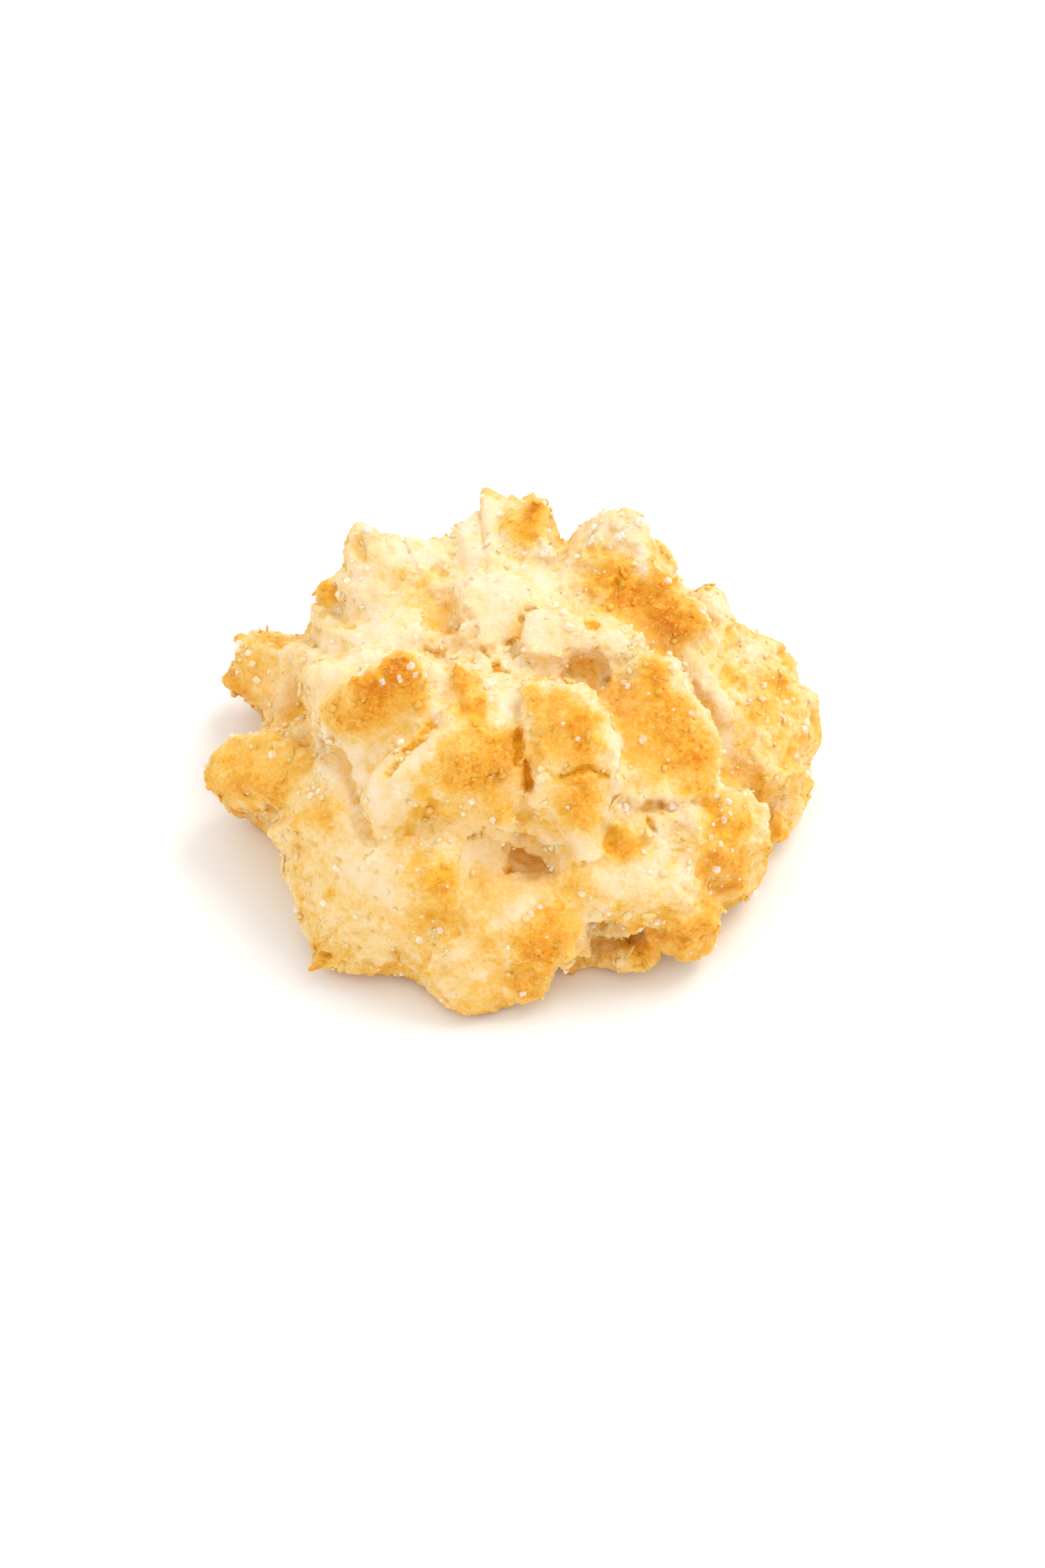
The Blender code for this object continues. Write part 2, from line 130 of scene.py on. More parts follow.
# Swellings and dents: path on the plan, radius, height (mm).
SWELLINGS = (
    # the left peak and its field, the valley behind it, the fold left of the middle lump
    (((-11.6, 11.8), (-13.2, 9.6), (-15.6, 8.0)), 1.3, 0.6), (((-14.4, 7.0), (-17.0, 7.2)), 2.4, 0.4),
    (((-17.4, 12.0), (-15.2, 12.0)), 1.4, -0.4), (((-16.7, 2.2), (-15.8, -0.6), (-14.8, -4.2)), 1.3, -0.5),
    # the left knob's bite, the fold above the arm, the slope, the upper left face and the recess beside it
    (((-22.9, 13.5), (-22.0, 13.7)), 1.1, -1.0), (((-20.3, 5.0), (-20.7, 3.8)), 1.1, -0.6),
    (((-19.2, 14.6), (-17.6, 13.4)), 1.5, 0.6), (((-18.1, 18.2), (-18.0, 17.2)), 0.9, -0.6),
    (((-15.8, 23.9), (-14.2, 24.2)), 0.9, 0.4), (((-7.9, 15.8), (-7.0, 14.2)), 1.2, -0.8),
    (((-8.2, 12.2),), 0.8, -0.4),
    # the middle lump, the slit, the saddle and the hollow under it
    (((-5.0, 4.4), (-4.8, 1.4)), 2.0, 0.5), (((-7.9, 9.8), (-7.7, 8.4)), 1.2, -0.8),
    (((-0.6, 4.4), (-0.7, 2.6)), 1.0, -0.8), (((0.4, 1.4), (0.5, -0.2)), 0.8, -0.7),
    (((-7.0, -2.5),), 0.8, 0.4), (((-1.8, -3.3), (1.4, -3.5)), 1.0, 0.5),
    (((0.2, -2.8), (1.6, -3.6), (2.8, -4.8)), 1.4, 1.0), (((-0.2, -6.9), (1.3, -7.8)), 1.3, -0.6),
    # the right lump and its foot
    (((5.4, -0.6), (5.8, -3.2)), 2.0, 0.5), (((4.4, 6.4), (5.2, 3.4)), 2.0, 0.4),
    (((8.5, -4.6), (8.3, -5.8)), 0.8, -0.6), (((10.0, -4.6), (10.2, -6.2)), 1.0, 0.5),
    # the big face, what lies under it, the scorched face and the right side
    (((13.0, 8.2), (15.6, 4.2)), 3.0, 0.5), (((11.6, -1.9), (13.9, -1.7)), 0.9, -0.7),
    (((14.2, -4.4), (15.2, -4.8)), 1.1, -0.4), (((11.0, 15.6), (12.4, 14.6)), 1.5, -0.6),
    (((19.4, 4.6), (19.0, 3.0)), 1.2, -0.4), (((20.6, 6.0), (20.9, 4.8)), 1.1, -0.3),
    (((23.4, -4.9),), 0.9, -0.6),
    # the front
    (((6.2, -15.1), (7.8, -15.0), (10.8, -14.4), (13.6, -14.8)), 1.1, -1.0),
    (((-8.6, -8.8), (-7.4, -9.4)), 2.0, 0.6), (((-2.8, -11.2), (-1.4, -10.6)), 1.8, -0.4),
)

# Faces that stayed smooth: path on the plan, radius.
SMOOTH = (
    # the left side
    (((-17.8, -8.0), (-13.8, -10.4)), 4.2), (((-15.0, -13.4),), 3.0), (((-27.0, 3.4), (-22.0, 2.4)), 2.4),
    (((-27.6, 0.4),), 2.2), (((-21.6, -3.6), (-19.6, -6.0)), 2.6), (((-14.8, 19.0), (-12.2, 14.6)), 3.4),
    (((-12.6, 22.4), (-9.4, 21.6)), 1.8), (((-4.6, 24.6), (-4.4, 22.2)), 2.4),
    (((-19.0, 12.2), (-16.6, 12.0)), 2.2), (((-22.8, 10.6), (-22.4, 8.2)), 2.4),
    (((-18.0, 9.4), (-12.6, 6.4)), 2.4), (((-15.0, 2.2), (-13.0, -2.6)), 2.0),
    (((-10.4, 1.6), (-9.4, 3.2)), 1.6),
    # the middle and the crown
    (((-7.9, 10.4), (-8.0, 7.6)), 1.2), (((-1.6, 9.0), (-1.6, 7.0)), 1.4),
    (((-6.2, 3.2), (-3.6, -1.2)), 2.4), (((3.6, 6.2), (5.4, 2.6)), 2.4), (((4.6, -1.4), (5.6, -5.4)), 2.2),
    (((-2.8, 19.0), (1.4, 19.6)), 2.2), (((-2.8, 16.8), (-2.4, 14.8)), 1.8),
    (((1.8, 15.2), (2.6, 13.2)), 1.8),
    # the right side
    (((11.0, 6.8), (12.4, 1.6)), 2.8), (((15.2, 4.6), (16.6, 0.6)), 2.2),
    (((9.6, 15.6), (12.6, 14.4)), 1.9), (((18.4, 10.8), (18.8, 7.6)), 1.6),
    (((19.6, 4.6), (19.2, 1.2)), 1.6), (((17.4, -11.4), (17.6, -14.2)), 1.8),
    # the front
    (((-3.6, -7.4), (0.6, -9.6)), 2.2), (((0.4, -5.4), (2.4, -4.6)), 1.4),
    (((-3.6, -10.8), (-1.0, -13.2)), 2.4), (((5.6, -7.6), (12.4, -9.0)), 2.6),
    (((-5.2, -16.0), (-3.6, -18.6)), 2.4), (((1.6, -14.0), (4.8, -12.6)), 2.2),
)

# Plates and knobs that stand up from the dough: outline on the plan, height, half width of the edge (mm).
BLOCKS = (
    # the tab in the middle, and the soft block beside it
    (((-6.8, 10.6), (-6.0, 11.3), (-4.8, 10.4), (-3.2, 9.3), (-3.0, 7.5), (-5.4, 7.2),
      (-6.2, 8.4)), 1.3, 0.1),
    (((-3.0, 9.9), (-1.8, 10.4), (-0.6, 9.0), (-0.9, 6.2), (-2.6, 7.8)), 0.5, 0.25),
    # the left and the right plate of the crown
    (((-6.0, 16.0), (-6.1, 13.7), (-4.1, 12.7), (-2.4, 13.1), (-0.7, 13.8), (-0.1, 16.2), (1.8, 16.8),
      (1.2, 18.5), (-0.5, 20.0), (-5.2, 20.1), (-6.7, 18.6)), 0.7, 0.14),
    (((-0.4, 12.7), (0.0, 15.4), (0.6, 16.4), (3.9, 16.9), (5.2, 15.9), (6.4, 14.5), (7.6, 13.6),
      (5.6, 12.0), (2.2, 12.0)), 0.8, 0.12),
    # the torn plates and scraps below the crown
    (((-5.0, 10.5), (-4.4, 11.6), (-2.7, 11.3), (-3.4, 10.0)), 0.4, 0.12),
    (((-1.9, 11.4), (0.1, 12.0), (1.0, 10.6), (-1.0, 10.3)), 0.4, 0.14),
    (((2.4, 10.2), (3.2, 12.1), (4.6, 11.6), (4.1, 10.8), (4.6, 10.0)), 0.5, 0.12),
    (((-2.3, 12.9), (-1.3, 12.8), (-1.6, 11.9), (-2.5, 12.2)), 0.5, 0.12),
    (((-7.1, 11.9), (-5.9, 11.8), (-6.0, 11.2), (-6.9, 11.2)), 0.5, 0.12),
    # the bright plate on the right lump's shoulder, and a scale beside the middle lump
    (((3.7, 9.6), (5.9, 9.9), (6.2, 8.2), (5.2, 8.4)), 0.3, 0.12),
    (((-7.8, 6.8), (-6.8, 7.2), (-7.2, 6.2)), 0.3, 0.14),
    # the scorched knob, the sugared block and the knob beside it
    (((-2.1, 25.8), (-0.5, 26.9), (1.4, 27.3), (2.6, 26.4), (3.6, 24.2), (4.2, 22.8), (0.6, 21.6),
      (-1.6, 22.6)), 0.9, 0.14),
    (((5.1, 20.9), (6.2, 23.6), (8.2, 26.0), (11.0, 25.9), (11.9, 23.5), (12.0, 20.4), (11.2, 18.9),
      (10.4, 20.0), (7.4, 20.2)), 0.9, 0.14),
    (((12.1, 20.3), (14.0, 20.3), (13.6, 18.3), (12.4, 18.2)), 0.4, 0.14),
    # the yellow plate at the upper left and the pale lobe at the right
    (((-11.9, 19.4), (-10.4, 20.4), (-8.1, 19.6), (-8.0, 17.3), (-11.2, 17.0)), 0.4, 0.16),
    (((17.2, 8.7), (19.0, 8.9), (19.8, 6.4), (18.8, 5.3), (17.8, 7.2)), 0.6, 0.14),
    # the plate, the drip and the patch of crumbs at the lower right, and the flap at the lower left
    (((8.7, -15.0), (10.3, -15.0), (11.6, -17.2), (9.0, -17.3)), 0.8, 0.12),
    (((5.0, -15.4), (6.5, -16.2), (6.0, -17.1), (5.2, -16.2)), 0.5, 0.12),
    (((7.7, -14.0), (9.1, -12.0), (11.8, -11.7), (12.9, -13.0), (10.8, -13.1), (9.0, -14.3)), 0.5, 0.12),
    (((-19.7, -16.7), (-17.8, -16.3), (-16.3, -15.8), (-16.4, -17.1), (-18.8, -17.3)), 0.6, 0.14),
)

# Pockets that sink away from the eye: outline on the plan, depth (mm), how much painted glow and shade lies
# in them from 0 to 1.
POCKETS = (
    # beside the right lump, and below the sugared block
    (((4.1, 10.9), (4.9, 11.6), (6.5, 11.7), (7.1, 10.2), (6.5, 8.4), (6.0, 9.9), (4.7, 10.1)), 0.4, 0.72),
    (((5.7, 15.2), (6.9, 15.4), (7.4, 14.3), (6.0, 14.7)), 0.4, 0.95),
    # the slit: its upper wall and its lower core
    (((-0.9, 4.9), (-0.4, 5.3), (0.1, 3.8), (-0.7, 1.7), (-1.0, 3.4)), 0.9, 0.92),
    (((0.1, 2.0), (0.4, 2.1), (1.1, 0.0), (0.3, -0.7), (0.0, 0.8)), 0.9, 1.0),
    # the golden patch on the middle lump's flat top, and the one at its left
    (((-4.9, 7.1), (-3.6, 7.0), (-3.9, 5.9), (-4.8, 5.9)), 0.2, 0.6),
    (((-10.0, -0.6), (-8.8, -0.4), (-8.6, -1.7), (-9.8, -1.7)), 0.2, 0.54),
    # the hollow's hole, the gap at the right lump's foot and the tall gap under the big face
    (((-1.9, -7.8), (-1.1, -7.6), (-0.4, -8.0), (-1.3, -8.3)), 0.7, 1.0),
    (((8.5, -4.1), (9.0, -5.2), (8.3, -6.1), (7.6, -5.6)), 0.5, 0.68),
    (((11.6, -3.1), (12.2, -3.4), (12.4, -4.3), (11.7, -4.0)), 0.7, 0.74),
    # the crescent at the right
    (((18.9, 9.0), (18.5, 9.9), (19.1, 11.1), (19.7, 10.3), (20.0, 9.6)), 0.5, 0.56),
    # the hole below the sugared block, the dark cavity at the lower left corner, and a hole at the lower
    # left
    (((8.3, 19.2), (8.9, 19.7), (9.5, 18.6), (8.7, 18.5)), 0.7, 0.88),
    (((-19.1, -15.6), (-17.7, -16.2), (-18.9, -16.4)), 0.6, 0.86),
    (((-12.2, -15.7), (-11.3, -15.8), (-11.6, -16.5)), 0.5, 0.74),
    # the dark spot under the crumbs at the lower right
    (((9.8, -14.3), (10.5, -14.5), (10.0, -14.8)), 0.5, 0.97),
)

# Cracks, slits and pinholes: path on the plan, half width, depth (mm), how much painted glow and shade lies
# in them from 0 to 1.
GAPS = (
    # the crown
    (((-0.1, 15.6), (-0.4, 14.3)), 0.35, 0.4, 0.45), (((-1.2, 13.3), (-0.5, 13.8)), 0.25, 0.6, 0.95),
    (((-3.9, 12.8), (-2.6, 11.6)), 0.22, 0.7, 0.8), (((-2.4, 11.3), (-2.4, 10.7)), 0.35, 0.9, 1.0),
    (((-5.8, 11.6), (-4.8, 11.8)), 0.18, 0.4, 0.5), (((-1.9, 10.8), (-1.3, 10.6)), 0.18, 0.4, 0.5),
    (((-9.0, 12.6), (-8.2, 12.3), (-7.2, 11.8)), 0.2, 0.5, 0.35),
    (((1.4, 17.0), (0.4, 16.7)), 0.2, 0.5, 0.55), (((0.3, 11.7), (1.0, 10.8)), 0.14, 0.4, 0.4),
    (((8.1, 15.1), (8.6, 14.6)), 0.15, 0.3, 0.6), (((-8.6, 13.4),), 0.22, 0.3, 0.6),
    (((3.3, 12.3),), 0.2, 0.3, 0.45), (((7.9, 12.8),), 0.2, 0.3, 0.45), (((6.5, 11.5),), 0.2, 0.3, 0.9),
    (((6.8, 9.3),), 0.2, 0.3, 0.9),
    # under the left peak, and left of the middle lump
    (((-8.7, 5.6), (-9.6, 4.3), (-11.0, 3.1)), 0.42, 0.8, 0.95),
    (((-11.0, 3.1), (-12.6, 1.0)), 0.28, 0.7, 0.9), (((-16.9, 13.4), (-15.3, 12.6)), 0.15, 0.3, 0.35),
    (((-14.6, 12.8), (-13.9, 12.7)), 0.15, 0.3, 0.35), (((-19.1, 6.0), (-18.6, 3.2)), 0.16, 0.4, 0.3),
    (((-12.6, 17.6), (-12.2, 18.2)), 0.15, 0.3, 0.6), (((-13.2, 19.4),), 0.25, 0.2, 0.5),
    (((-10.0, 22.3),), 0.25, 0.2, 0.45), (((-11.0, 14.8),), 0.18, 0.2, 0.35),
    # the middle lump
    (((-4.4, 2.0), (-4.1, 1.4), (-4.3, 0.3)), 0.2, 0.3, 0.7), (((-5.3, 2.9),), 0.18, 0.3, 0.6),
    (((-4.0, 2.9),), 0.16, 0.3, 0.6), (((-6.7, 2.6),), 0.16, 0.2, 0.5),
    (((-6.2, 5.7),), 0.16, 0.2, 0.55), (((-5.0, -5.1), (-3.9, -4.8), (-3.7, -4.2)), 0.16, 0.7, 0.97),
    (((0.0, -1.1), (0.0, -2.0)), 0.2, 0.4, 0.75), (((0.0, -1.1), (0.0, -1.5)), 0.15, 0.15, 0.3),
    # the right lump
    (((3.6, 0.7), (5.0, 1.2), (6.3, 1.5)), 0.28, 0.8, 1.0), (((6.3, 1.5), (7.9, 0.8)), 0.26, 0.7, 1.0),
    (((2.3, 1.4), (2.8, 0.8), (3.5, 0.3)), 0.18, 0.4, 0.78), (((6.4, 6.3),), 0.2, 0.3, 0.8),
    (((4.7, -7.6),), 0.25, 0.3, 0.5), (((5.7, -7.4),), 0.22, 0.4, 0.85),
    # the big face and below it
    (((12.1, 8.9),), 0.16, 0.3, 0.8), (((14.6, 5.0),), 0.14, 0.3, 0.8), (((16.1, 6.1),), 0.14, 0.3, 0.8),
    (((17.3, 3.9),), 0.18, 0.3, 0.82), (((15.7, 2.5),), 0.16, 0.3, 0.85),
    (((15.0, -0.7), (15.9, -0.7)), 0.12, 0.2, 0.7), (((17.2, -1.9), (18.3, -3.0)), 0.3, 0.5, 0.66),
    (((14.2, -6.2), (15.0, -6.2)), 0.15, 0.3, 0.5),
    # the right side
    (((25.0, 3.2), (24.7, 2.3), (24.4, 1.3)), 0.25, 0.5, 0.6),
    (((20.2, 3.7), (20.7, 3.9)), 0.16, 0.3, 0.8), (((24.4, 9.5),), 0.22, 0.3, 0.6),
    (((24.6, 6.7),), 0.22, 0.3, 0.6), (((24.5, 11.3),), 0.2, 0.3, 0.6), (((26.9, 4.3),), 0.2, 0.3, 0.6),
    (((25.4, -0.3),), 0.2, 0.3, 0.6), (((20.2, 7.5),), 0.2, 0.3, 0.6),
    # the left knob and the left arm
    (((-23.3, 4.2), (-22.3, 4.4)), 0.25, 0.4, 0.5), (((-21.0, 3.5), (-20.2, 3.5)), 0.2, 0.3, 0.46),
    (((-26.4, 0.5),), 0.2, 0.3, 0.55), (((-25.4, 1.9),), 0.18, 0.3, 0.55),
    (((-22.1, -0.1),), 0.18, 0.3, 0.55), (((-24.4, -1.5),), 0.2, 0.3, 0.6),
    (((-23.7, -3.0), (-23.1, -3.4)), 0.16, 0.3, 0.6), (((-20.7, -5.2), (-19.3, -5.7)), 0.16, 0.3, 0.5),
    (((-21.5, -6.4),), 0.18, 0.3, 0.5),
    # the lower left face and the front
    (((-17.4, -8.8),), 0.18, 0.3, 0.6), (((-18.1, -10.1), (-17.7, -10.3)), 0.2, 0.3, 0.75),
    (((-19.7, -11.2),), 0.16, 0.3, 0.6), (((-13.2, -12.7),), 0.2, 0.3, 0.7),
    (((-17.3, -13.1),), 0.16, 0.3, 0.6), (((-14.9, -7.0), (-14.1, -6.3)), 0.15, 0.3, 0.45),
    (((-6.1, -13.9), (-7.1, -14.5)), 0.32, 0.5, 0.74), (((-8.3, -15.1),), 0.2, 0.4, 0.86),
    (((-8.4, -17.5),), 0.2, 0.3, 0.7), (((-3.6, -16.6), (-1.8, -16.5)), 0.2, 0.2, 0.6),
    (((2.1, -16.6),), 0.15, 0.3, 0.9), (((1.5, -11.1),), 0.15, 0.2, 0.6),
    (((3.2, -11.0),), 0.15, 0.2, 0.6), (((12.3, -13.7),), 0.2, 0.3, 0.9), (((17.3, -9.0),), 0.2, 0.3, 0.8),
    (((16.2, -11.2),), 0.2, 0.3, 0.8), (((8.7, -15.0), (8.7, -16.6)), 0.12, 0.5, 0.6),
    (((11.8, -10.9), (12.0, -10.4)), 0.12, 0.2, 0.5), (((1.0, 25.1),), 0.2, 0.4, 0.9),
    (((2.2, 26.1),), 0.22, 0.2, 0.8),
)

# Ledges: path on the plan with the upper side on its left, height, how far the lip overhangs (mm).
LEDGES = (
    # the left peak, the fold left of the middle lump, the peak's tail
    (((-8.6, 9.6), (-9.4, 10.4), (-10.2, 12.0), (-11.5, 12.7), (-12.8, 12.0), (-14.2, 10.9),
      (-16.5, 9.6)), 0.9, 0.3),
    (((-16.8, 3.6), (-16.3, 2.0), (-15.0, -1.8), (-13.7, -5.0), (-12.2, -5.5)), 0.8, 0.2),
    (((-19.1, 6.0), (-18.8, 5.0), (-18.5, 3.0)), 0.6, 0.15),
    # the left knob, its bite, the brown foot and the left arm's top
    (((-21.3, 13.4), (-22.8, 12.5), (-23.9, 13.2), (-24.1, 14.2)), 0.5, 0.15),
    (((-27.0, 12.0), (-26.6, 10.2), (-25.7, 8.6)), 0.6, 0.2),
    (((-19.6, 3.2), (-21.4, 4.0), (-23.0, 4.6), (-24.8, 5.0)), 0.6, 0.2),
    # the upper left face: the golden step, and the recess at its right
    (((-17.0, 20.0), (-17.1, 18.0), (-17.0, 16.6)), 0.8, 0.2),
    (((-9.0, 13.4), (-9.4, 15.0), (-9.2, 17.0)), 0.5, 0.15),
    # the right lump
    (((5.0, 9.8), (3.0, 10.0), (0.4, 10.0)), 0.3, 0.1),
    (((0.3, 9.8), (0.1, 8.0), (0.0, 6.5), (0.2, 4.3)), 0.8, 0.25),
    (((8.1, 3.3), (6.9, 5.0), (6.6, 6.0), (6.2, 7.2), (5.6, 8.2)), 0.6, 0.1),
    (((4.4, -7.4), (6.4, -7.2), (8.0, -6.2)), 0.6, 0.2),
    # the saddle's edge over the hollow
    (((-3.7, -4.6), (-2.1, -4.9), (-0.5, -5.7), (1.1, -6.5), (2.6, -7.5), (2.9, -8.3)), 0.8, 0.3),
    # the big face: its right edge with its top, and its lower edge
    (((17.8, -0.8), (18.4, 3.0), (17.5, 6.0), (16.0, 8.5), (15.2, 10.0), (13.4, 12.0), (12.0, 12.7),
      (10.8, 12.1)), 0.45, 0.15),
    (((10.4, -2.6), (11.7, -1.2), (14.8, -1.5), (16.5, -1.2), (17.7, -1.1)), 1.1, 0.4),
    # the scorched face
    (((8.6, 15.2), (9.9, 14.2), (10.5, 13.2), (11.8, 12.8)), 0.6, 0.2),
    (((17.5, 13.6), (17.4, 15.0), (16.0, 17.0), (15.0, 18.8)), 0.6, 0.2),
    # the right lobe
    (((21.0, 14.6), (20.6, 12.0), (20.8, 9.5), (21.4, 7.0), (21.8, 5.2)), 0.25, 0.1),
    # the front arm, over the dark recess, and the lower right lobe
    (((-6.5, -13.5), (-8.2, -15.4), (-8.7, -17.4)), 0.6, 0.15),
    (((3.0, -17.9), (4.2, -16.2), (5.2, -15.5), (6.7, -14.2), (10.0, -13.9), (11.2, -13.0),
      (12.6, -13.3)), 1.1, 0.35),
    (((13.0, -13.4), (15.5, -14.6), (16.6, -16.0)), 0.6, 0.2),
    (((12.2, -10.9), (12.4, -10.0), (13.3, -9.5)), 0.4, 0.1),
)

# Places painted gold without a clear edge, for the glow and shade in recesses: path on the plan, radius,
# strength.
GLOW_AND_SHADE = (
    (((5.0, 11.0), (6.4, 10.8), (6.6, 9.4)), 1.0, 0.72), (((6.1, 15.0), (7.0, 14.8)), 0.6, 0.9),
    (((-0.5, 4.6), (-0.7, 2.4)), 0.6, 1.0), (((0.3, 1.8), (0.5, 0.0)), 0.5, 1.0),
    (((-9.6, 4.9), (-11.0, 4.0)), 0.8, 0.45), (((-0.4, 15.4), (-0.8, 13.9)), 0.7, 0.42),
    (((6.0, 16.4), (6.6, 15.8)), 0.8, 0.45), (((-8.2, 14.9), (-7.8, 14.8)), 0.5, 0.42),
    (((-17.9, 18.1), (-18.0, 17.2)), 0.7, 0.52), (((7.2, 9.6), (7.0, 8.2)), 0.7, 0.5),
    (((9.4, -4.4),), 0.9, 0.42), (((19.8, 10.6),), 0.7, 0.42), (((20.2, -3.6), (21.0, -3.6)), 0.6, 0.62),
    (((19.0, -4.8),), 0.7, 0.55), (((23.6, -4.9), (24.4, -4.8)), 0.8, 0.4),
    (((-7.4, -8.2), (-8.8, -8.9)), 0.7, 0.6), (((-20.9, 6.9), (-20.6, 6.4)), 0.6, 0.48),
    (((0.3, 23.4),), 0.6, 0.5), (((16.4, 15.0),), 0.7, 0.5), (((6.9, 4.2),), 0.4, 0.62),
    (((1.0, 9.0),), 0.5, 0.45), (((-23.0, 12.8),), 0.5, 0.35), (((10.2, -16.0),), 0.9, 0.35),
)

# Recesses whose walls get a painted warm tan for the shade that falls there: path on the plan, radius,
# strength.
SHADED = (
    # the hollow under the saddle, and the slit's banks
    (((-0.6, -6.4), (1.6, -7.5)), 1.2, 1.0), (((-1.4, -7.6), (1.8, -8.4)), 1.3, 0.85),
    (((-3.4, -5.8), (-2.6, -7.8), (-3.4, -9.6)), 2.1, 0.6), (((0.2, -9.4), (-2.0, -11.0)), 2.0, 0.6),
    (((-8.4, -3.8), (-5.6, -4.0)), 1.2, 0.6), (((-4.6, -4.3), (-3.2, -4.7)), 1.0, 0.6),
    (((-1.5, 3.0), (-1.4, -0.6)), 1.1, 0.8), (((1.0, 3.2), (1.0, 0.6)), 0.7, 0.8),
    (((-0.5, -1.4), (0.2, -2.2)), 0.9, 0.4),
    # the recess left of the crown, and the crown's gaps
    (((-7.4, 16.2), (-6.9, 14.4)), 1.2, 0.7), (((-8.2, 12.3),), 0.7, 0.5),
    (((-0.7, 15.0), (-1.0, 13.9)), 0.6, 0.6), (((-0.8, 12.4),), 0.5, 0.7),
    (((-7.4, 20.6), (-3.0, 20.8)), 0.9, 0.3),
    # beside the golden pocket, under the scorched face and under the big face
    (((8.0, 7.8), (9.6, 7.2)), 1.4, 0.55), (((10.8, 15.0), (12.8, 14.0)), 2.0, 0.6),
    (((11.4, -1.9), (14.3, -1.8)), 0.8, 0.9), (((13.6, -3.0), (14.4, -4.0)), 0.8, 0.35),
    # the right side
    (((20.5, 6.6), (20.6, 4.6)), 1.0, 0.5), (((22.9, -5.4),), 0.6, 0.35),
    # under the front arm
    (((5.8, -15.1), (8.2, -15.0)), 0.9, 1.0), (((4.0, -17.3), (8.2, -16.9)), 0.7, 0.9),
    (((10.6, -14.2), (13.4, -14.8)), 1.2, 0.7), (((12.4, -16.2), (14.0, -16.2)), 0.6, 0.8),
    # the left side
    (((-19.9, 4.8), (-20.8, 3.5)), 1.0, 0.6), (((-16.6, 1.8), (-16.0, -1.0), (-14.6, -5.0)), 1.0, 0.55),
    (((-22.9, 13.3), (-22.0, 13.4)), 0.8, 0.6), (((-24.2, 8.2), (-24.3, 6.6)), 0.8, 0.45),
    (((-27.6, -2.2), (-26.0, -3.4)), 0.8, 0.6), (((-4.6, -11.6), (-2.6, -10.6)), 1.6, 0.35),
)
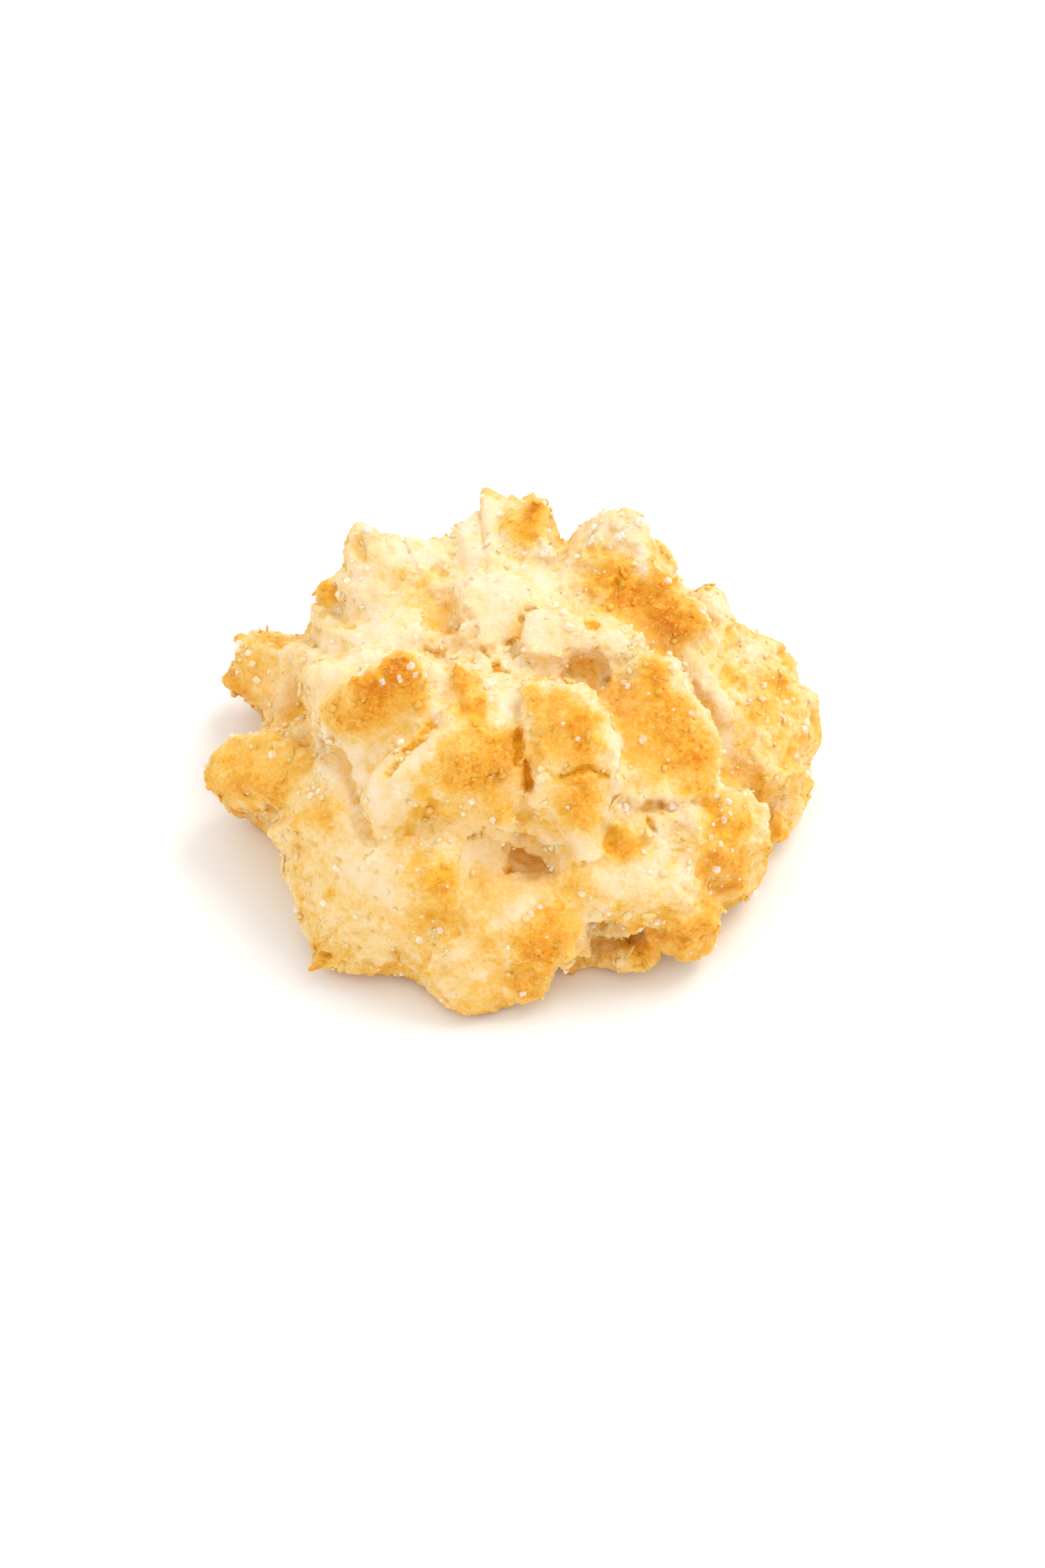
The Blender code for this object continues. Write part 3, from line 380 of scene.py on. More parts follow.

# Toasted places, a few of them painted shade in the slit and in recesses: path on the plan, radius (mm), how
# brown from 0 to 1.
TOASTED_AND_SHADED = (
    # the left peak's tip, the block's top, the slit's banks in painted shade, the left peak's lower half and
    # the front arm
    (((-12.2, 11.3), (-12.1, 10.2), (-13.8, 9.1)), 1.2, 0.95), (((0.6, 25.8), (2.2, 26.1)), 0.9, 0.7),
    (((-1.4, 4.3), (-1.6, 1.2)), 0.9, 0.45), (((0.9, 3.8), (1.1, 1.0)), 0.6, 0.5),
    (((-16.4, 6.2), (-13.6, 6.4), (-11.8, 7.4)), 2.2, 0.22), (((-9.6, -13.4), (-4.2, -12.6)), 3.0, 0.2),
    # broad warm areas under everything else
    (((-16.6, 7.4), (-11.4, 7.6)), 3.0, 0.18), (((-25.0, 3.4), (-21.0, 1.6)), 2.6, 0.28),
    (((-7.6, 2.0), (-2.6, 1.6)), 3.4, 0.38), (((-7.6, -2.6), (-2.4, -2.6)), 1.8, 0.25),
    (((3.8, 6.4), (5.2, -1.6)), 3.0, 0.32), (((9.4, 7.6), (12.4, 4.6), (15.6, 3.4)), 3.6, 0.34),
    (((10.0, 16.4), (14.6, 15.4)), 2.8, 0.4), (((7.0, 19.0), (9.6, 19.6)), 2.0, 0.35),
    (((0.2, 24.6), (2.0, 24.6)), 1.8, 0.35), (((-28.0, 1.4), (-24.0, -0.4)), 2.8, 0.32),
    (((-26.4, 10.0), (-24.6, 12.0)), 2.0, 0.25), (((1.0, -15.0), (1.6, -18.0)), 2.6, 0.35),
    (((11.0, -14.6), (16.6, -14.0)), 2.2, 0.5), (((17.8, -10.4), (18.0, -14.0)), 1.8, 0.3),
    (((19.0, -3.6), (19.6, -8.4)), 2.8, 0.35), (((23.4, 8.6), (26.0, 4.0)), 3.0, 0.22),
    (((24.4, -1.0),), 2.6, 0.22), (((8.6, -5.4), (9.8, -6.0)), 1.8, 0.35),
    (((-9.0, -8.6), (-7.4, -9.6)), 2.2, 0.32), (((3.0, -12.4), (4.6, -9.6)), 2.2, 0.22),
    (((-3.4, -9.6), (-0.6, -10.2)), 2.2, 0.2),
    # the left peak: its dark ridge, its flanks and the field below
    (((-11.7, 11.6), (-11.8, 10.6), (-12.6, 9.9)), 1.1, 1.0),
    (((-12.8, 9.8), (-13.8, 9.1), (-15.0, 8.2)), 1.2, 0.95), (((-14.6, 10.2), (-16.0, 9.2)), 1.3, 0.7),
    (((-10.6, 11.2), (-10.9, 9.2)), 1.5, 0.75), (((-11.2, 8.2), (-9.9, 8.4)), 1.3, 0.55),
    (((-12.0, 10.6), (-13.4, 9.4)), 1.6, 0.8), (((-17.6, 7.6), (-15.8, 6.8), (-13.4, 7.2)), 1.9, 0.45),
    (((-17.2, 5.8), (-14.4, 5.4), (-12.4, 6.2)), 1.7, 0.38), (((-11.8, 7.0),), 0.5, 0.95),
    (((-16.7, 6.7),), 0.35, 1.0), (((-17.5, 5.0), (-16.2, 4.5)), 0.4, 0.6),
    (((-9.0, 9.6), (-9.3, 7.6)), 1.0, 0.4),
    # the tab and the middle lump
    (((-6.4, 10.8), (-6.1, 9.6), (-5.4, 8.6)), 0.9, 0.85), (((-4.8, 9.6), (-4.2, 8.6)), 1.2, 0.6),
    (((-5.2, 7.0), (-4.4, 6.4)), 1.0, 0.9), (((-6.4, 7.4), (-5.6, 7.0)), 0.8, 0.6),
    (((-4.2, 5.2), (-3.4, 3.6)), 1.5, 0.55), (((-4.5, 2.0), (-4.3, 0.6)), 0.9, 0.9),
    (((-6.4, 2.6), (-6.9, 0.6)), 1.5, 0.48), (((-5.8, -0.2), (-4.4, -0.4)), 1.2, 0.66),
    (((-2.7, 3.8), (-2.5, 0.6)), 1.2, 0.6), (((-3.0, -1.0), (-2.0, -1.9)), 1.2, 0.45),
    (((-9.4, -0.8), (-8.7, -1.4)), 0.9, 0.7), (((-9.4, -2.6), (-7.4, -3.4)), 1.2, 0.45),
    # the slit: the brown on its walls and core is painted shade
    (((-0.5, 4.8), (-0.8, 2.6)), 0.9, 1.0), (((0.2, 2.4), (0.5, 0.2)), 0.7, 1.0),
    (((-1.7, 3.4), (-1.5, 1.4)), 0.8, 0.7), (((1.1, 3.4), (1.3, 2.4)), 0.6, 0.6),
    # the right lump and its foot
    (((0.7, 8.9), (1.1, 8.0)), 1.0, 0.95), (((1.3, 9.8),), 0.7, 0.8),
    (((3.2, 8.8), (2.9, 7.8)), 0.6, 0.8), (((3.6, 7.2), (4.8, 6.2)), 1.5, 0.62),
    (((6.1, 6.8), (6.5, 5.8)), 0.8, 0.88), (((6.9, 4.3),), 0.7, 1.0),
    (((5.0, 4.8), (5.6, 3.0)), 1.5, 0.72), (((2.6, 5.4), (2.8, 3.2)), 1.5, 0.45),
    (((5.7, 1.5), (7.4, 1.1)), 0.8, 0.85), (((5.2, 0.3), (5.9, -1.2)), 1.5, 0.8),
    (((4.8, -2.4), (6.0, -3.2)), 1.7, 0.55), (((8.4, -4.8), (8.3, -5.8)), 0.7, 0.9),
    (((9.4, -4.3),), 0.6, 0.6), (((10.4, -5.6), (9.0, -6.7)), 1.0, 0.5), (((11.9, -3.6),), 0.5, 0.85),
    # the big face
    (((12.4, 10.8), (12.6, 9.4)), 1.5, 0.8), (((13.0, 8.6), (13.2, 7.6)), 1.4, 0.92),
    (((14.6, 7.8), (15.4, 6.0)), 1.5, 0.72), (((15.4, 3.4), (16.4, 2.2)), 1.4, 0.95),
    (((17.2, 1.4), (17.2, -0.2)), 1.2, 0.72), (((16.8, 4.6), (17.4, 3.4)), 0.9, 0.65),
    (((14.0, 5.4), (13.6, 3.4)), 1.5, 0.55), (((8.4, 8.8), (10.4, 7.4)), 1.6, 0.5),
    (((9.8, 5.8), (11.8, 5.4)), 1.3, 0.5), (((11.2, 3.2), (12.8, 1.4)), 2.0, 0.4),
    (((14.8, -0.8), (17.2, -0.9)), 0.6, 0.72), (((12.2, 12.6), (13.2, 12.2)), 0.8, 0.45),
    # the scorched face
    (((11.4, 18.2), (12.2, 17.8)), 1.1, 1.0), (((12.4, 16.9), (12.8, 16.0)), 1.3, 0.92),
    (((13.4, 18.6), (14.2, 17.2)), 1.1, 0.85), (((15.0, 17.4), (15.6, 16.6)), 0.9, 0.6),
    (((14.2, 15.6), (14.8, 14.4)), 1.3, 0.8), (((16.2, 15.6), (16.6, 15.0)), 0.9, 1.0),
    (((15.4, 13.9),), 0.9, 0.6), (((10.4, 17.4), (9.0, 16.8)), 1.2, 0.6),
    (((10.6, 15.4), (12.6, 14.6)), 1.8, 0.62), (((12.6, 13.6), (14.0, 13.2)), 1.2, 0.4),
    # the sugared block and the knobs beside it
    (((8.6, 17.8), (9.6, 18.4)), 1.0, 0.7), (((7.4, 18.9), (6.6, 18.2)), 0.9, 0.66),
    (((8.2, 20.4), (9.8, 20.4)), 1.0, 0.75), (((8.8, 19.2),), 1.0, 0.85),
    (((6.4, 21.6), (7.8, 21.4)), 1.0, 0.45), (((5.4, 20.8),), 0.8, 0.4),
    (((10.2, 26.0), (11.6, 25.2), (12.0, 24.2)), 0.6, 0.65), (((12.3, 22.8), (12.2, 21.2)), 0.6, 0.85),
    (((13.2, 21.8), (13.8, 20.8)), 1.0, 0.62), (((12.6, 19.8), (13.8, 19.2)), 1.0, 0.66),
    # the scorched knob and the spur
    (((0.8, 26.2), (2.3, 26.3)), 0.7, 0.98), (((0.6, 25.4), (1.0, 24.8)), 0.7, 0.85),
    (((0.3, 23.8), (0.4, 22.8)), 0.8, 0.8), (((-1.6, 25.4), (-1.5, 24.4)), 0.8, 0.62),
    (((3.3, 24.0), (3.8, 22.8)), 0.9, 0.6), (((1.4, 23.6),), 0.9, 0.5), (((0.4, 27.0),), 0.6, 0.5),
    (((-0.6, 23.0),), 0.8, 0.4), (((-3.2, 27.5),), 0.7, 0.55), (((-1.5, 27.2), (-0.9, 26.6)), 0.7, 0.5),
    # the upper left face, and the recess at its right
    (((-15.8, 24.5), (-14.4, 24.5)), 0.6, 0.55), (((-16.4, 23.2), (-16.6, 22.2)), 0.6, 0.65),
    (((-15.4, 22.8),), 0.8, 0.4), (((-13.8, 23.7),), 0.7, 0.45),
    (((-15.2, 21.2), (-14.0, 21.4)), 0.9, 0.3), (((-11.6, 19.6), (-11.2, 18.4)), 0.8, 0.34),
    (((-9.1, 19.6), (-9.0, 18.6)), 0.8, 0.5), (((-10.6, 17.1), (-9.8, 17.1)), 0.7, 0.55),
    (((-8.7, 16.8), (-6.8, 16.4)), 1.0, 0.4), (((-8.3, 14.9), (-7.0, 14.2)), 0.9, 0.5),
    (((-18.7, 18.8), (-18.2, 17.8)), 0.9, 0.6), (((-18.4, 16.9),), 0.7, 0.7),
    (((-18.6, 15.8),), 0.8, 0.3),
    # the shelf behind the left knob, the left knob, the brown foot and the left slope
    (((-21.0, 15.6), (-21.0, 14.8)), 0.6, 0.5), (((-26.6, 13.6), (-25.8, 14.2)), 0.7, 0.5),
    (((-25.4, 13.0),), 0.6, 0.6), (((-24.4, 14.5), (-23.8, 13.8)), 0.7, 0.7),
    (((-23.0, 12.8), (-22.2, 13.4)), 0.8, 0.55), (((-27.2, 10.6), (-27.5, 9.6)), 1.0, 0.75),
    (((-26.8, 9.3), (-25.6, 8.6)), 0.9, 1.0), (((-25.8, 7.8), (-24.9, 7.6)), 0.6, 0.8),
    (((-25.0, 11.4),), 0.9, 0.35), (((-24.2, 9.0),), 0.9, 0.35), (((-20.7, 7.0), (-20.9, 6.4)), 0.5, 1.0),
    (((-22.2, 6.6), (-21.6, 6.0)), 0.9, 0.35),
    # the left arm
    (((-29.2, 2.4), (-28.4, 3.4)), 0.9, 0.5), (((-29.3, 0.4), (-28.4, -0.8)), 0.9, 0.5),
    (((-27.2, 2.2), (-26.2, 1.8)), 1.1, 0.55), (((-25.4, 1.7),), 0.5, 0.85),
    (((-26.8, 0.3), (-25.4, 0.6)), 0.9, 0.7), (((-27.0, -0.7), (-25.6, -1.0)), 1.0, 0.6),
    (((-25.5, -2.4), (-24.6, -2.5)), 0.7, 0.85), (((-24.6, -0.8), (-22.8, -1.2)), 0.8, 0.5),
    (((-27.4, -2.2), (-26.2, -3.3)), 0.7, 1.0), (((-23.2, 4.2), (-22.0, 3.7)), 0.7, 0.42),
    (((-20.6, 3.5),), 0.5, 0.5), (((-22.0, 1.2), (-20.4, 1.6)), 1.2, 0.35),
    (((-26.0, 4.4), (-24.4, 4.4)), 0.8, 0.4), (((-17.8, -2.4),), 0.6, 0.9),
    (((-18.7, -2.6), (-18.4, -4.0)), 1.0, 0.55), (((-21.6, -3.4), (-20.0, -3.0)), 1.3, 0.35),
    # the lower left face and the dark cavity at its corner
    (((-19.0, -15.7), (-18.4, -16.2)), 0.5, 1.0), (((-19.4, -14.6), (-19.6, -15.2)), 0.6, 0.65),
    (((-19.2, -16.8), (-17.8, -16.7)), 0.6, 0.55), (((-16.6, -16.4),), 0.7, 0.45),
    (((-20.5, -10.6),), 0.8, 0.5), (((-19.4, -12.2),), 0.8, 0.45), (((-18.0, -10.0),), 0.4, 0.8),
    (((-12.8, -16.9), (-11.2, -17.2)), 0.9, 0.5), (((-10.2, -16.8), (-9.2, -17.6)), 0.9, 0.45),
    (((-15.0, -17.2),), 1.1, 0.35),
    # the front hump, the saddle and the hollow, whose roof and hole are browned as painted shade
    (((-8.6, -8.4), (-8.5, -9.8)), 0.6, 0.9), (((-7.6, -7.8), (-6.9, -7.9)), 0.6, 0.9),
    (((-7.3, -9.0),), 0.8, 0.85), (((-9.6, -8.8),), 0.5, 0.85),
    (((-7.4, -10.8), (-6.9, -11.4)), 0.9, 0.55), (((-9.2, -7.0), (-10.4, -7.6)), 1.0, 0.35),
    (((-8.6, -12.6), (-7.0, -12.8)), 1.2, 0.4), (((-10.6, -3.6), (-11.0, -4.8)), 1.0, 0.35),
    (((-2.0, -3.2), (2.0, -3.4)), 0.9, 0.42), (((-0.6, -6.2), (0.8, -7.0), (2.0, -7.8)), 0.9, 0.6),
    (((-1.4, -8.0),), 0.6, 1.0),
    # the front arm
    (((0.8, -14.8), (2.4, -14.0)), 1.6, 0.5), (((3.7, -14.7), (3.2, -15.6)), 0.9, 0.6),
    (((1.4, -16.0), (0.2, -16.8)), 1.4, 0.6), (((2.4, -16.2), (2.0, -17.2)), 0.8, 0.75),
    (((0.6, -17.3),), 0.6, 0.9), (((-0.4, -18.6), (0.9, -18.4)), 0.7, 0.85),
    (((0.0, -19.6), (1.4, -19.8)), 0.6, 1.0), (((-1.6, -18.0),), 1.0, 0.55),
    (((-3.1, -19.2), (-2.8, -20.0)), 0.7, 0.65), (((-3.4, -16.6), (-1.9, -16.5)), 0.5, 0.7),
    (((-2.4, -17.8),), 0.5, 0.7), (((-4.2, -15.3), (-3.0, -15.4)), 0.6, 0.45),
    (((-5.4, -20.6), (-4.4, -21.3)), 0.8, 0.45), (((-2.2, -20.7), (-1.0, -20.6)), 0.6, 0.5),
    (((-4.3, -19.2),), 0.5, 0.6), (((2.8, -12.2), (4.2, -13.0)), 1.4, 0.4), (((3.2, -11.0),), 0.5, 0.7),
    (((4.4, -9.2), (5.6, -9.4)), 0.8, 0.5), (((7.3, -10.5),), 0.4, 0.6),
    # the lower right: browning, and painted shade as well in the recess under the front arm
    (((8.6, -12.8), (9.4, -12.0)), 0.8, 0.6), (((10.2, -13.6), (11.4, -13.2)), 0.8, 0.65),
    (((10.2, -14.6),), 0.6, 1.0), (((9.0, -14.5),), 0.7, 0.6),
    (((11.7, -15.5), (12.0, -14.6)), 0.8, 0.9), (((12.8, -14.9), (13.9, -14.8)), 0.7, 0.8),
    (((12.3, -13.7),), 0.4, 1.0), (((13.2, -16.0), (12.2, -16.5)), 0.6, 0.95),
    (((15.0, -14.0), (15.4, -15.2)), 1.1, 0.65), (((14.8, -16.1),), 0.8, 0.6),
    (((17.2, -12.8), (18.0, -14.0)), 1.1, 0.6), (((17.2, -15.0), (16.4, -16.0)), 0.9, 0.55),
    (((13.4, -11.8), (13.8, -12.8)), 0.9, 0.5), (((17.2, -10.4), (17.4, -11.6)), 1.0, 0.5),
    (((5.9, -16.3),), 0.6, 0.7), (((9.6, -15.8), (10.8, -16.4)), 1.0, 0.45),
    (((7.4, -15.0), (7.8, -16.4)), 0.9, 0.55), (((4.6, -17.2), (5.4, -17.4)), 0.7, 0.85),
    # the right hump
    (((17.5, -2.3), (17.9, -3.2)), 0.7, 0.95), (((18.3, -4.0), (18.1, -5.0)), 0.8, 0.65),
    (((20.4, -3.5), (20.2, -4.4)), 0.7, 0.95), (((21.2, -2.6), (21.4, -3.8)), 0.9, 0.65),
    (((19.0, -4.9), (19.8, -5.0)), 0.6, 1.0), (((20.6, -6.6), (20.9, -7.2)), 0.9, 0.85),
    (((18.6, -7.2), (19.4, -8.0)), 1.3, 0.62), (((17.2, -8.8), (16.8, -8.0)), 0.7, 0.7),
    (((17.6, -9.8), (19.2, -9.6)), 1.0, 0.6), (((20.5, -9.3),), 0.6, 0.75),
    (((22.2, -5.9), (22.6, -7.0)), 0.8, 0.55), (((19.6, -11.4), (20.6, -10.8)), 0.7, 0.5),
    (((23.4, -3.8), (24.0, -4.8)), 0.9, 0.7), (((22.6, -1.4), (22.2, 0.6)), 1.1, 0.4),
    (((25.4, -2.6),), 0.9, 0.35),
    # the right lobe
    (((20.6, 9.6), (19.4, 10.8)), 0.9, 0.5), (((22.8, 9.2), (24.2, 9.0)), 1.3, 0.42),
    (((22.6, 7.4), (21.6, 6.2)), 1.2, 0.45), (((20.4, 5.2), (21.2, 4.4)), 1.0, 0.35),
    (((22.4, 3.2), (24.2, 4.8)), 1.3, 0.32), (((27.3, 7.0), (27.6, 5.0)), 0.9, 0.5),
    (((26.6, 4.4),), 0.6, 0.55), (((24.9, 3.0), (24.5, 1.6)), 0.5, 0.6),
    (((26.8, 2.0), (27.0, 0.4)), 0.7, 0.42), (((20.2, 1.2), (19.6, 0.4)), 1.0, 0.35),
    (((25.4, -0.4),), 0.4, 0.8), (((24.2, 12.4), (25.0, 11.2)), 0.9, 0.35),
    (((19.6, 14.2), (19.2, 13.0)), 0.9, 0.35), (((17.2, 18.4),), 0.5, 0.45),
    (((20.4, 15.2), (21.6, 14.4)), 0.8, 0.25),
)

# Pale places, where the dough stayed soft: path on the plan, radius, strength.
PALE = (
    # the small valley above the slit
    (((-1.7, 8.6), (-1.3, 7.2)), 1.1, 0.9),
    # the upper left face and the spur
    (((-15.6, 17.4), (-13.0, 15.6)), 1.8, 0.6), (((-13.6, 14.6), (-11.6, 13.8)), 1.3, 0.9),
    (((-16.6, 14.4), (-15.4, 14.0)), 1.1, 0.8), (((-12.2, 22.2), (-9.4, 21.2)), 1.5, 0.9),
    (((-11.6, 23.4), (-8.8, 22.8)), 0.9, 0.8), (((-5.2, 23.8), (-3.2, 25.6)), 1.5, 1.0),
    (((-5.4, 21.8), (-3.6, 22.4)), 1.3, 0.9), (((-2.8, 26.6),), 0.7, 0.7),
    (((-9.6, 13.2), (-10.2, 14.8)), 0.9, 0.8),
    # the valley behind the left peak
    (((-17.8, 12.6), (-19.4, 12.2)), 1.3, 0.8), (((-16.0, 11.8), (-14.4, 12.2)), 1.0, 0.9),
    (((-18.4, 10.4),), 1.4, 0.7),
    # the crown and the sugared block
    (((-5.0, 19.4), (-1.4, 18.8)), 1.4, 1.0), (((-2.0, 17.2), (-0.4, 17.8)), 1.1, 0.9),
    (((1.6, 19.4), (3.4, 20.6)), 1.4, 0.9), (((2.4, 22.0), (3.0, 21.2)), 1.0, 0.8),
    (((-3.2, 14.6), (-2.2, 15.6)), 1.1, 0.7), (((1.2, 15.2), (1.0, 13.4)), 1.2, 0.8),
    (((3.2, 15.0),), 0.9, 0.6), (((-1.8, 12.6),), 0.7, 0.8), (((-3.8, 11.6), (0.0, 11.4)), 0.9, 0.9),
    (((3.2, 10.8),), 0.9, 0.8), (((8.2, 13.6), (10.6, 12.8)), 0.9, 0.8),
    (((11.0, 22.6), (11.3, 20.0)), 0.8, 1.0), (((9.6, 23.2),), 1.0, 0.7),
    # round the tab
    (((-8.0, 11.0), (-7.8, 9.0)), 1.0, 1.0), (((-7.9, 8.0), (-8.2, 6.8)), 0.9, 1.0),
    (((-1.8, 8.8), (-1.4, 7.2)), 1.1, 1.0), (((-2.6, 9.8),), 0.6, 0.8),
    # the fold left of the middle lump
    (((-18.7, 4.8), (-18.4, 2.4)), 0.8, 1.0), (((-19.2, 1.4), (-18.0, 0.6)), 0.9, 0.9),
    (((-15.4, 2.8), (-15.0, 1.0)), 1.2, 1.0), (((-14.0, -0.4), (-13.4, -2.6)), 1.1, 0.9),
    (((-10.4, 2.2), (-8.8, 3.6)), 1.1, 1.0), (((-11.8, 0.6), (-11.4, -0.8)), 1.1, 0.8),
    (((-16.2, -1.2), (-15.6, -2.8)), 0.9, 0.7),
    # the right side
    (((8.5, 5.0), (9.0, 3.0)), 0.8, 0.9), (((8.7, 1.6), (8.8, -0.6)), 0.8, 0.8),
    (((9.4, -1.6),), 0.7, 0.7), (((19.4, 4.8), (18.9, 3.2)), 0.9, 1.0), (((18.7, 0.0),), 0.8, 0.9),
    (((18.4, 8.2), (18.9, 6.4)), 0.9, 0.8), (((17.2, 10.2), (16.8, 8.8)), 0.9, 0.6),
    (((18.2, 17.2), (19.2, 16.4)), 0.9, 0.8), (((21.0, 13.2), (22.0, 12.4)), 1.0, 0.5),
    # under the big face, and the front
    (((16.0, -1.8), (15.2, -3.4)), 1.0, 0.8), (((12.9, -4.0), (13.4, -6.2)), 0.9, 0.9),
    (((12.6, -8.0), (10.6, -8.4)), 1.5, 0.8), (((15.2, -7.6), (14.6, -9.0)), 1.2, 0.7),
    (((5.2, -5.6), (6.0, -6.6)), 1.1, 0.7), (((7.6, -8.6), (8.6, -9.6)), 1.1, 0.7),
    (((6.4, -12.4), (7.2, -11.6)), 1.1, 0.5), (((0.4, -11.2), (-0.6, -12.0)), 1.2, 0.8),
    (((-2.2, -12.8),), 1.2, 0.6), (((-7.2, -16.6), (-5.6, -15.6)), 1.1, 0.6),
    (((-15.4, -8.4), (-13.2, -9.8)), 1.8, 0.8), (((-13.8, -6.8), (-12.6, -8.0)), 1.2, 0.7),
    (((-16.4, -6.4),), 1.2, 0.5), (((-13.2, -11.0),), 1.4, 0.5), (((-4.6, -6.4), (-5.6, -8.0)), 1.3, 0.5),
)

# Where sugar crystals gather: path on the plan, radius, how much denser.
SUGARED = (
    (((-20.2, -0.9),), 1.6, 8.0), (((7.2, 24.4), (9.4, 24.8)), 2.4, 9.0), (((10.8, 20.4),), 1.5, 6.0),
    (((-25.5, 13.0),), 1.8, 3.0), (((22.6, 6.6), (25.4, 6.9)), 1.5, 7.0),
    (((15.6, 6.0), (17.0, 5.5)), 0.9, 5.0), (((13.6, 11.7), (15.0, 11.4)), 1.0, 5.0),
    (((17.8, 9.6),), 1.0, 4.0), (((19.2, 2.4), (20.1, 1.7)), 1.2, 8.0),
    (((18.6, -1.4), (18.8, -2.6)), 1.0, 8.0), (((18.4, -5.8), (19.2, -6.0)), 1.2, 10.0),
    (((2.4, 9.2),), 0.9, 6.0), (((5.4, 4.8),), 0.9, 5.0), (((-9.1, 4.4),), 0.7, 6.0),
    (((-3.4, 8.8),), 1.1, 6.0), (((-2.0, 27.4),), 1.3, 4.0), (((12.4, -12.4),), 1.1, 8.0),
    (((-14.5, 24.0),), 1.2, 4.0), (((17.3, 14.7), (14.7, 14.8)), 0.9, 4.0), (((4.0, 18.8),), 1.5, 5.0),
)

# Flakes that show one by one: x, s, turn on the plan (degrees), lift, length, width (mm), how brown.
FLAKES = (
    (17.4, 18.6, 20.0, 0.2, 1.2, 0.6, 0.3), (-3.2, 27.8, 100.0, 0.2, 1.2, 0.8, 0.45),
    (6.0, -16.4, 250.0, 0.3, 1.3, 0.6, 0.5), (-19.0, -16.8, 200.0, 0.3, 1.6, 0.8, 0.6),
    (-17.0, -16.9, 260.0, 0.2, 1.4, 0.8, 0.4), (22.2, 13.9, 70.0, 0.3, 0.9, 0.5, 0.3),
    (-25.8, 14.2, 120.0, 0.25, 1.0, 0.6, 0.4), (-1.6, 12.4, 40.0, 0.4, 0.9, 0.5, 0.2),
    (-6.5, 11.7, 30.0, 0.4, 0.9, 0.5, 0.2), (2.8, 11.9, 10.0, 0.3, 1.0, 0.5, 0.2),
    (9.6, -12.6, 40.0, 0.4, 1.2, 0.7, 0.3), (11.6, -12.2, 10.0, 0.4, 1.3, 0.7, 0.3),
    (8.9, -15.4, 90.0, 0.1, 1.6, 1.0, 0.4),
)

# ---------------------------------------------------------------- tools


def read(items, name, width):
    """Read a number or a vector of every item into an array."""
    flat = np.empty(len(items) * width, np.float32)
    items.foreach_get(name, flat)
    return flat.reshape(-1, width) if width > 1 else flat


def on_plan(points):
    """Where points in mm fall on the leaning plan, as seen from the eye."""
    away = points - EYE
    reach = DISTANCE / (away @ AHEAD)
    return np.stack(((away @ RIGHT) * reach, (away @ RISE) * reach), axis=1)


def ease(low, high, values):
    """Go smoothly from 0 at low to 1 at high."""
    part = np.clip((values - low) / (high - low), 0.0, 1.0)
    return part * part * (3.0 - 2.0 * part)


def lattice(seed):
    """A shuffled table and a set of directions for the noise."""
    draw = np.random.default_rng(seed)
    order = np.tile(draw.permutation(256), 2)
    ways = draw.normal(size=(256, 3))
    ways /= np.linalg.norm(ways, axis=1)[:, None]
    return order, ways, draw.random(256)


def cell_key(order, cell):
    """A number from 0 to 255 for each cell of the lattice."""
    return order[(order[(order[cell[:, 0] & 255] + cell[:, 1]) & 255] + cell[:, 2]) & 255]


def ripple(points, seed):
    """Smooth noise of about -1 to 1, with a wavelength of 1."""
    order, ways, _ = lattice(seed)
    base = np.floor(points).astype(np.int64)
    part = points - base
    fade = part ** 3 * (part * (part * 6.0 - 15.0) + 10.0)
    total = np.zeros(len(points))
    for corner in np.ndindex(2, 2, 2):
        step = np.array(corner)
        slope = ways[cell_key(order, base + step)]
        weight = np.prod(np.where(step, fade, 1.0 - fade), axis=1)
        total += weight * np.einsum("ij,ij->i", part - step, slope)
    return total * 1.7


def rough(points, wave, octaves, seed):
    """Noise made of waves of wave mm and shorter."""
    total = np.zeros(len(points))
    for octave in range(octaves):
        total += ripple(points / wave * 2 ** octave, seed + octave) / 2 ** octave
    return total


def bent(points, reach, wave, octaves, seeds):
    """Points shifted by up to about reach mm, so that what is laid out on them turns ragged."""
    return points + reach * np.stack([rough(points, wave, octaves, seed) for seed in seeds], axis=1)


def pocks(points, wave, seed, share):
    """Depth from 0 to 1 of scattered round pits, one in some of the cells of wave mm."""
    order, ways, chance = lattice(seed)
    scaled = points / wave
    base = np.floor(scaled).astype(np.int64)
    depth = np.zeros(len(points))
    for corner in np.ndindex(3, 3, 3):
        cell = base + np.array(corner) - 1
        key = cell_key(order, cell)
        middle = cell + 0.5 + 0.4 * ways[key]
        gap = np.linalg.norm(scaled - middle, axis=1)
        size = 0.16 + 0.22 * chance[(key * 7 + 3) & 255]
        pit = np.clip(1.0 - (gap / size) ** 2, 0.0, 1.0)
        depth = np.maximum(depth, np.where(chance[key] < share, pit, 0.0))
    return depth


def slabs(points, wave, seed):
    """Flat-topped blocks about wave mm across: the level of each, -1 to 1, and the nearness of a joint."""
    order, ways, chance = lattice(seed)
    scaled = points / wave
    base = np.floor(scaled).astype(np.int64)
    first = np.full(len(points), 9.0)
    second = np.full(len(points), 9.0)
    level = np.zeros(len(points))
    for corner in np.ndindex(3, 3, 3):
        cell = base + np.array(corner) - 1
        key = cell_key(order, cell)
        gap = np.linalg.norm(scaled - cell - 0.5 - 0.45 * ways[key], axis=1)
        closer = gap < first
        second = np.where(closer, first, np.minimum(second, gap))
        level = np.where(closer, chance[key] * 2.0 - 1.0, level)
        first = np.where(closer, gap, first)
    return level, 1.0 - ease(0.0, 0.16, second - first)


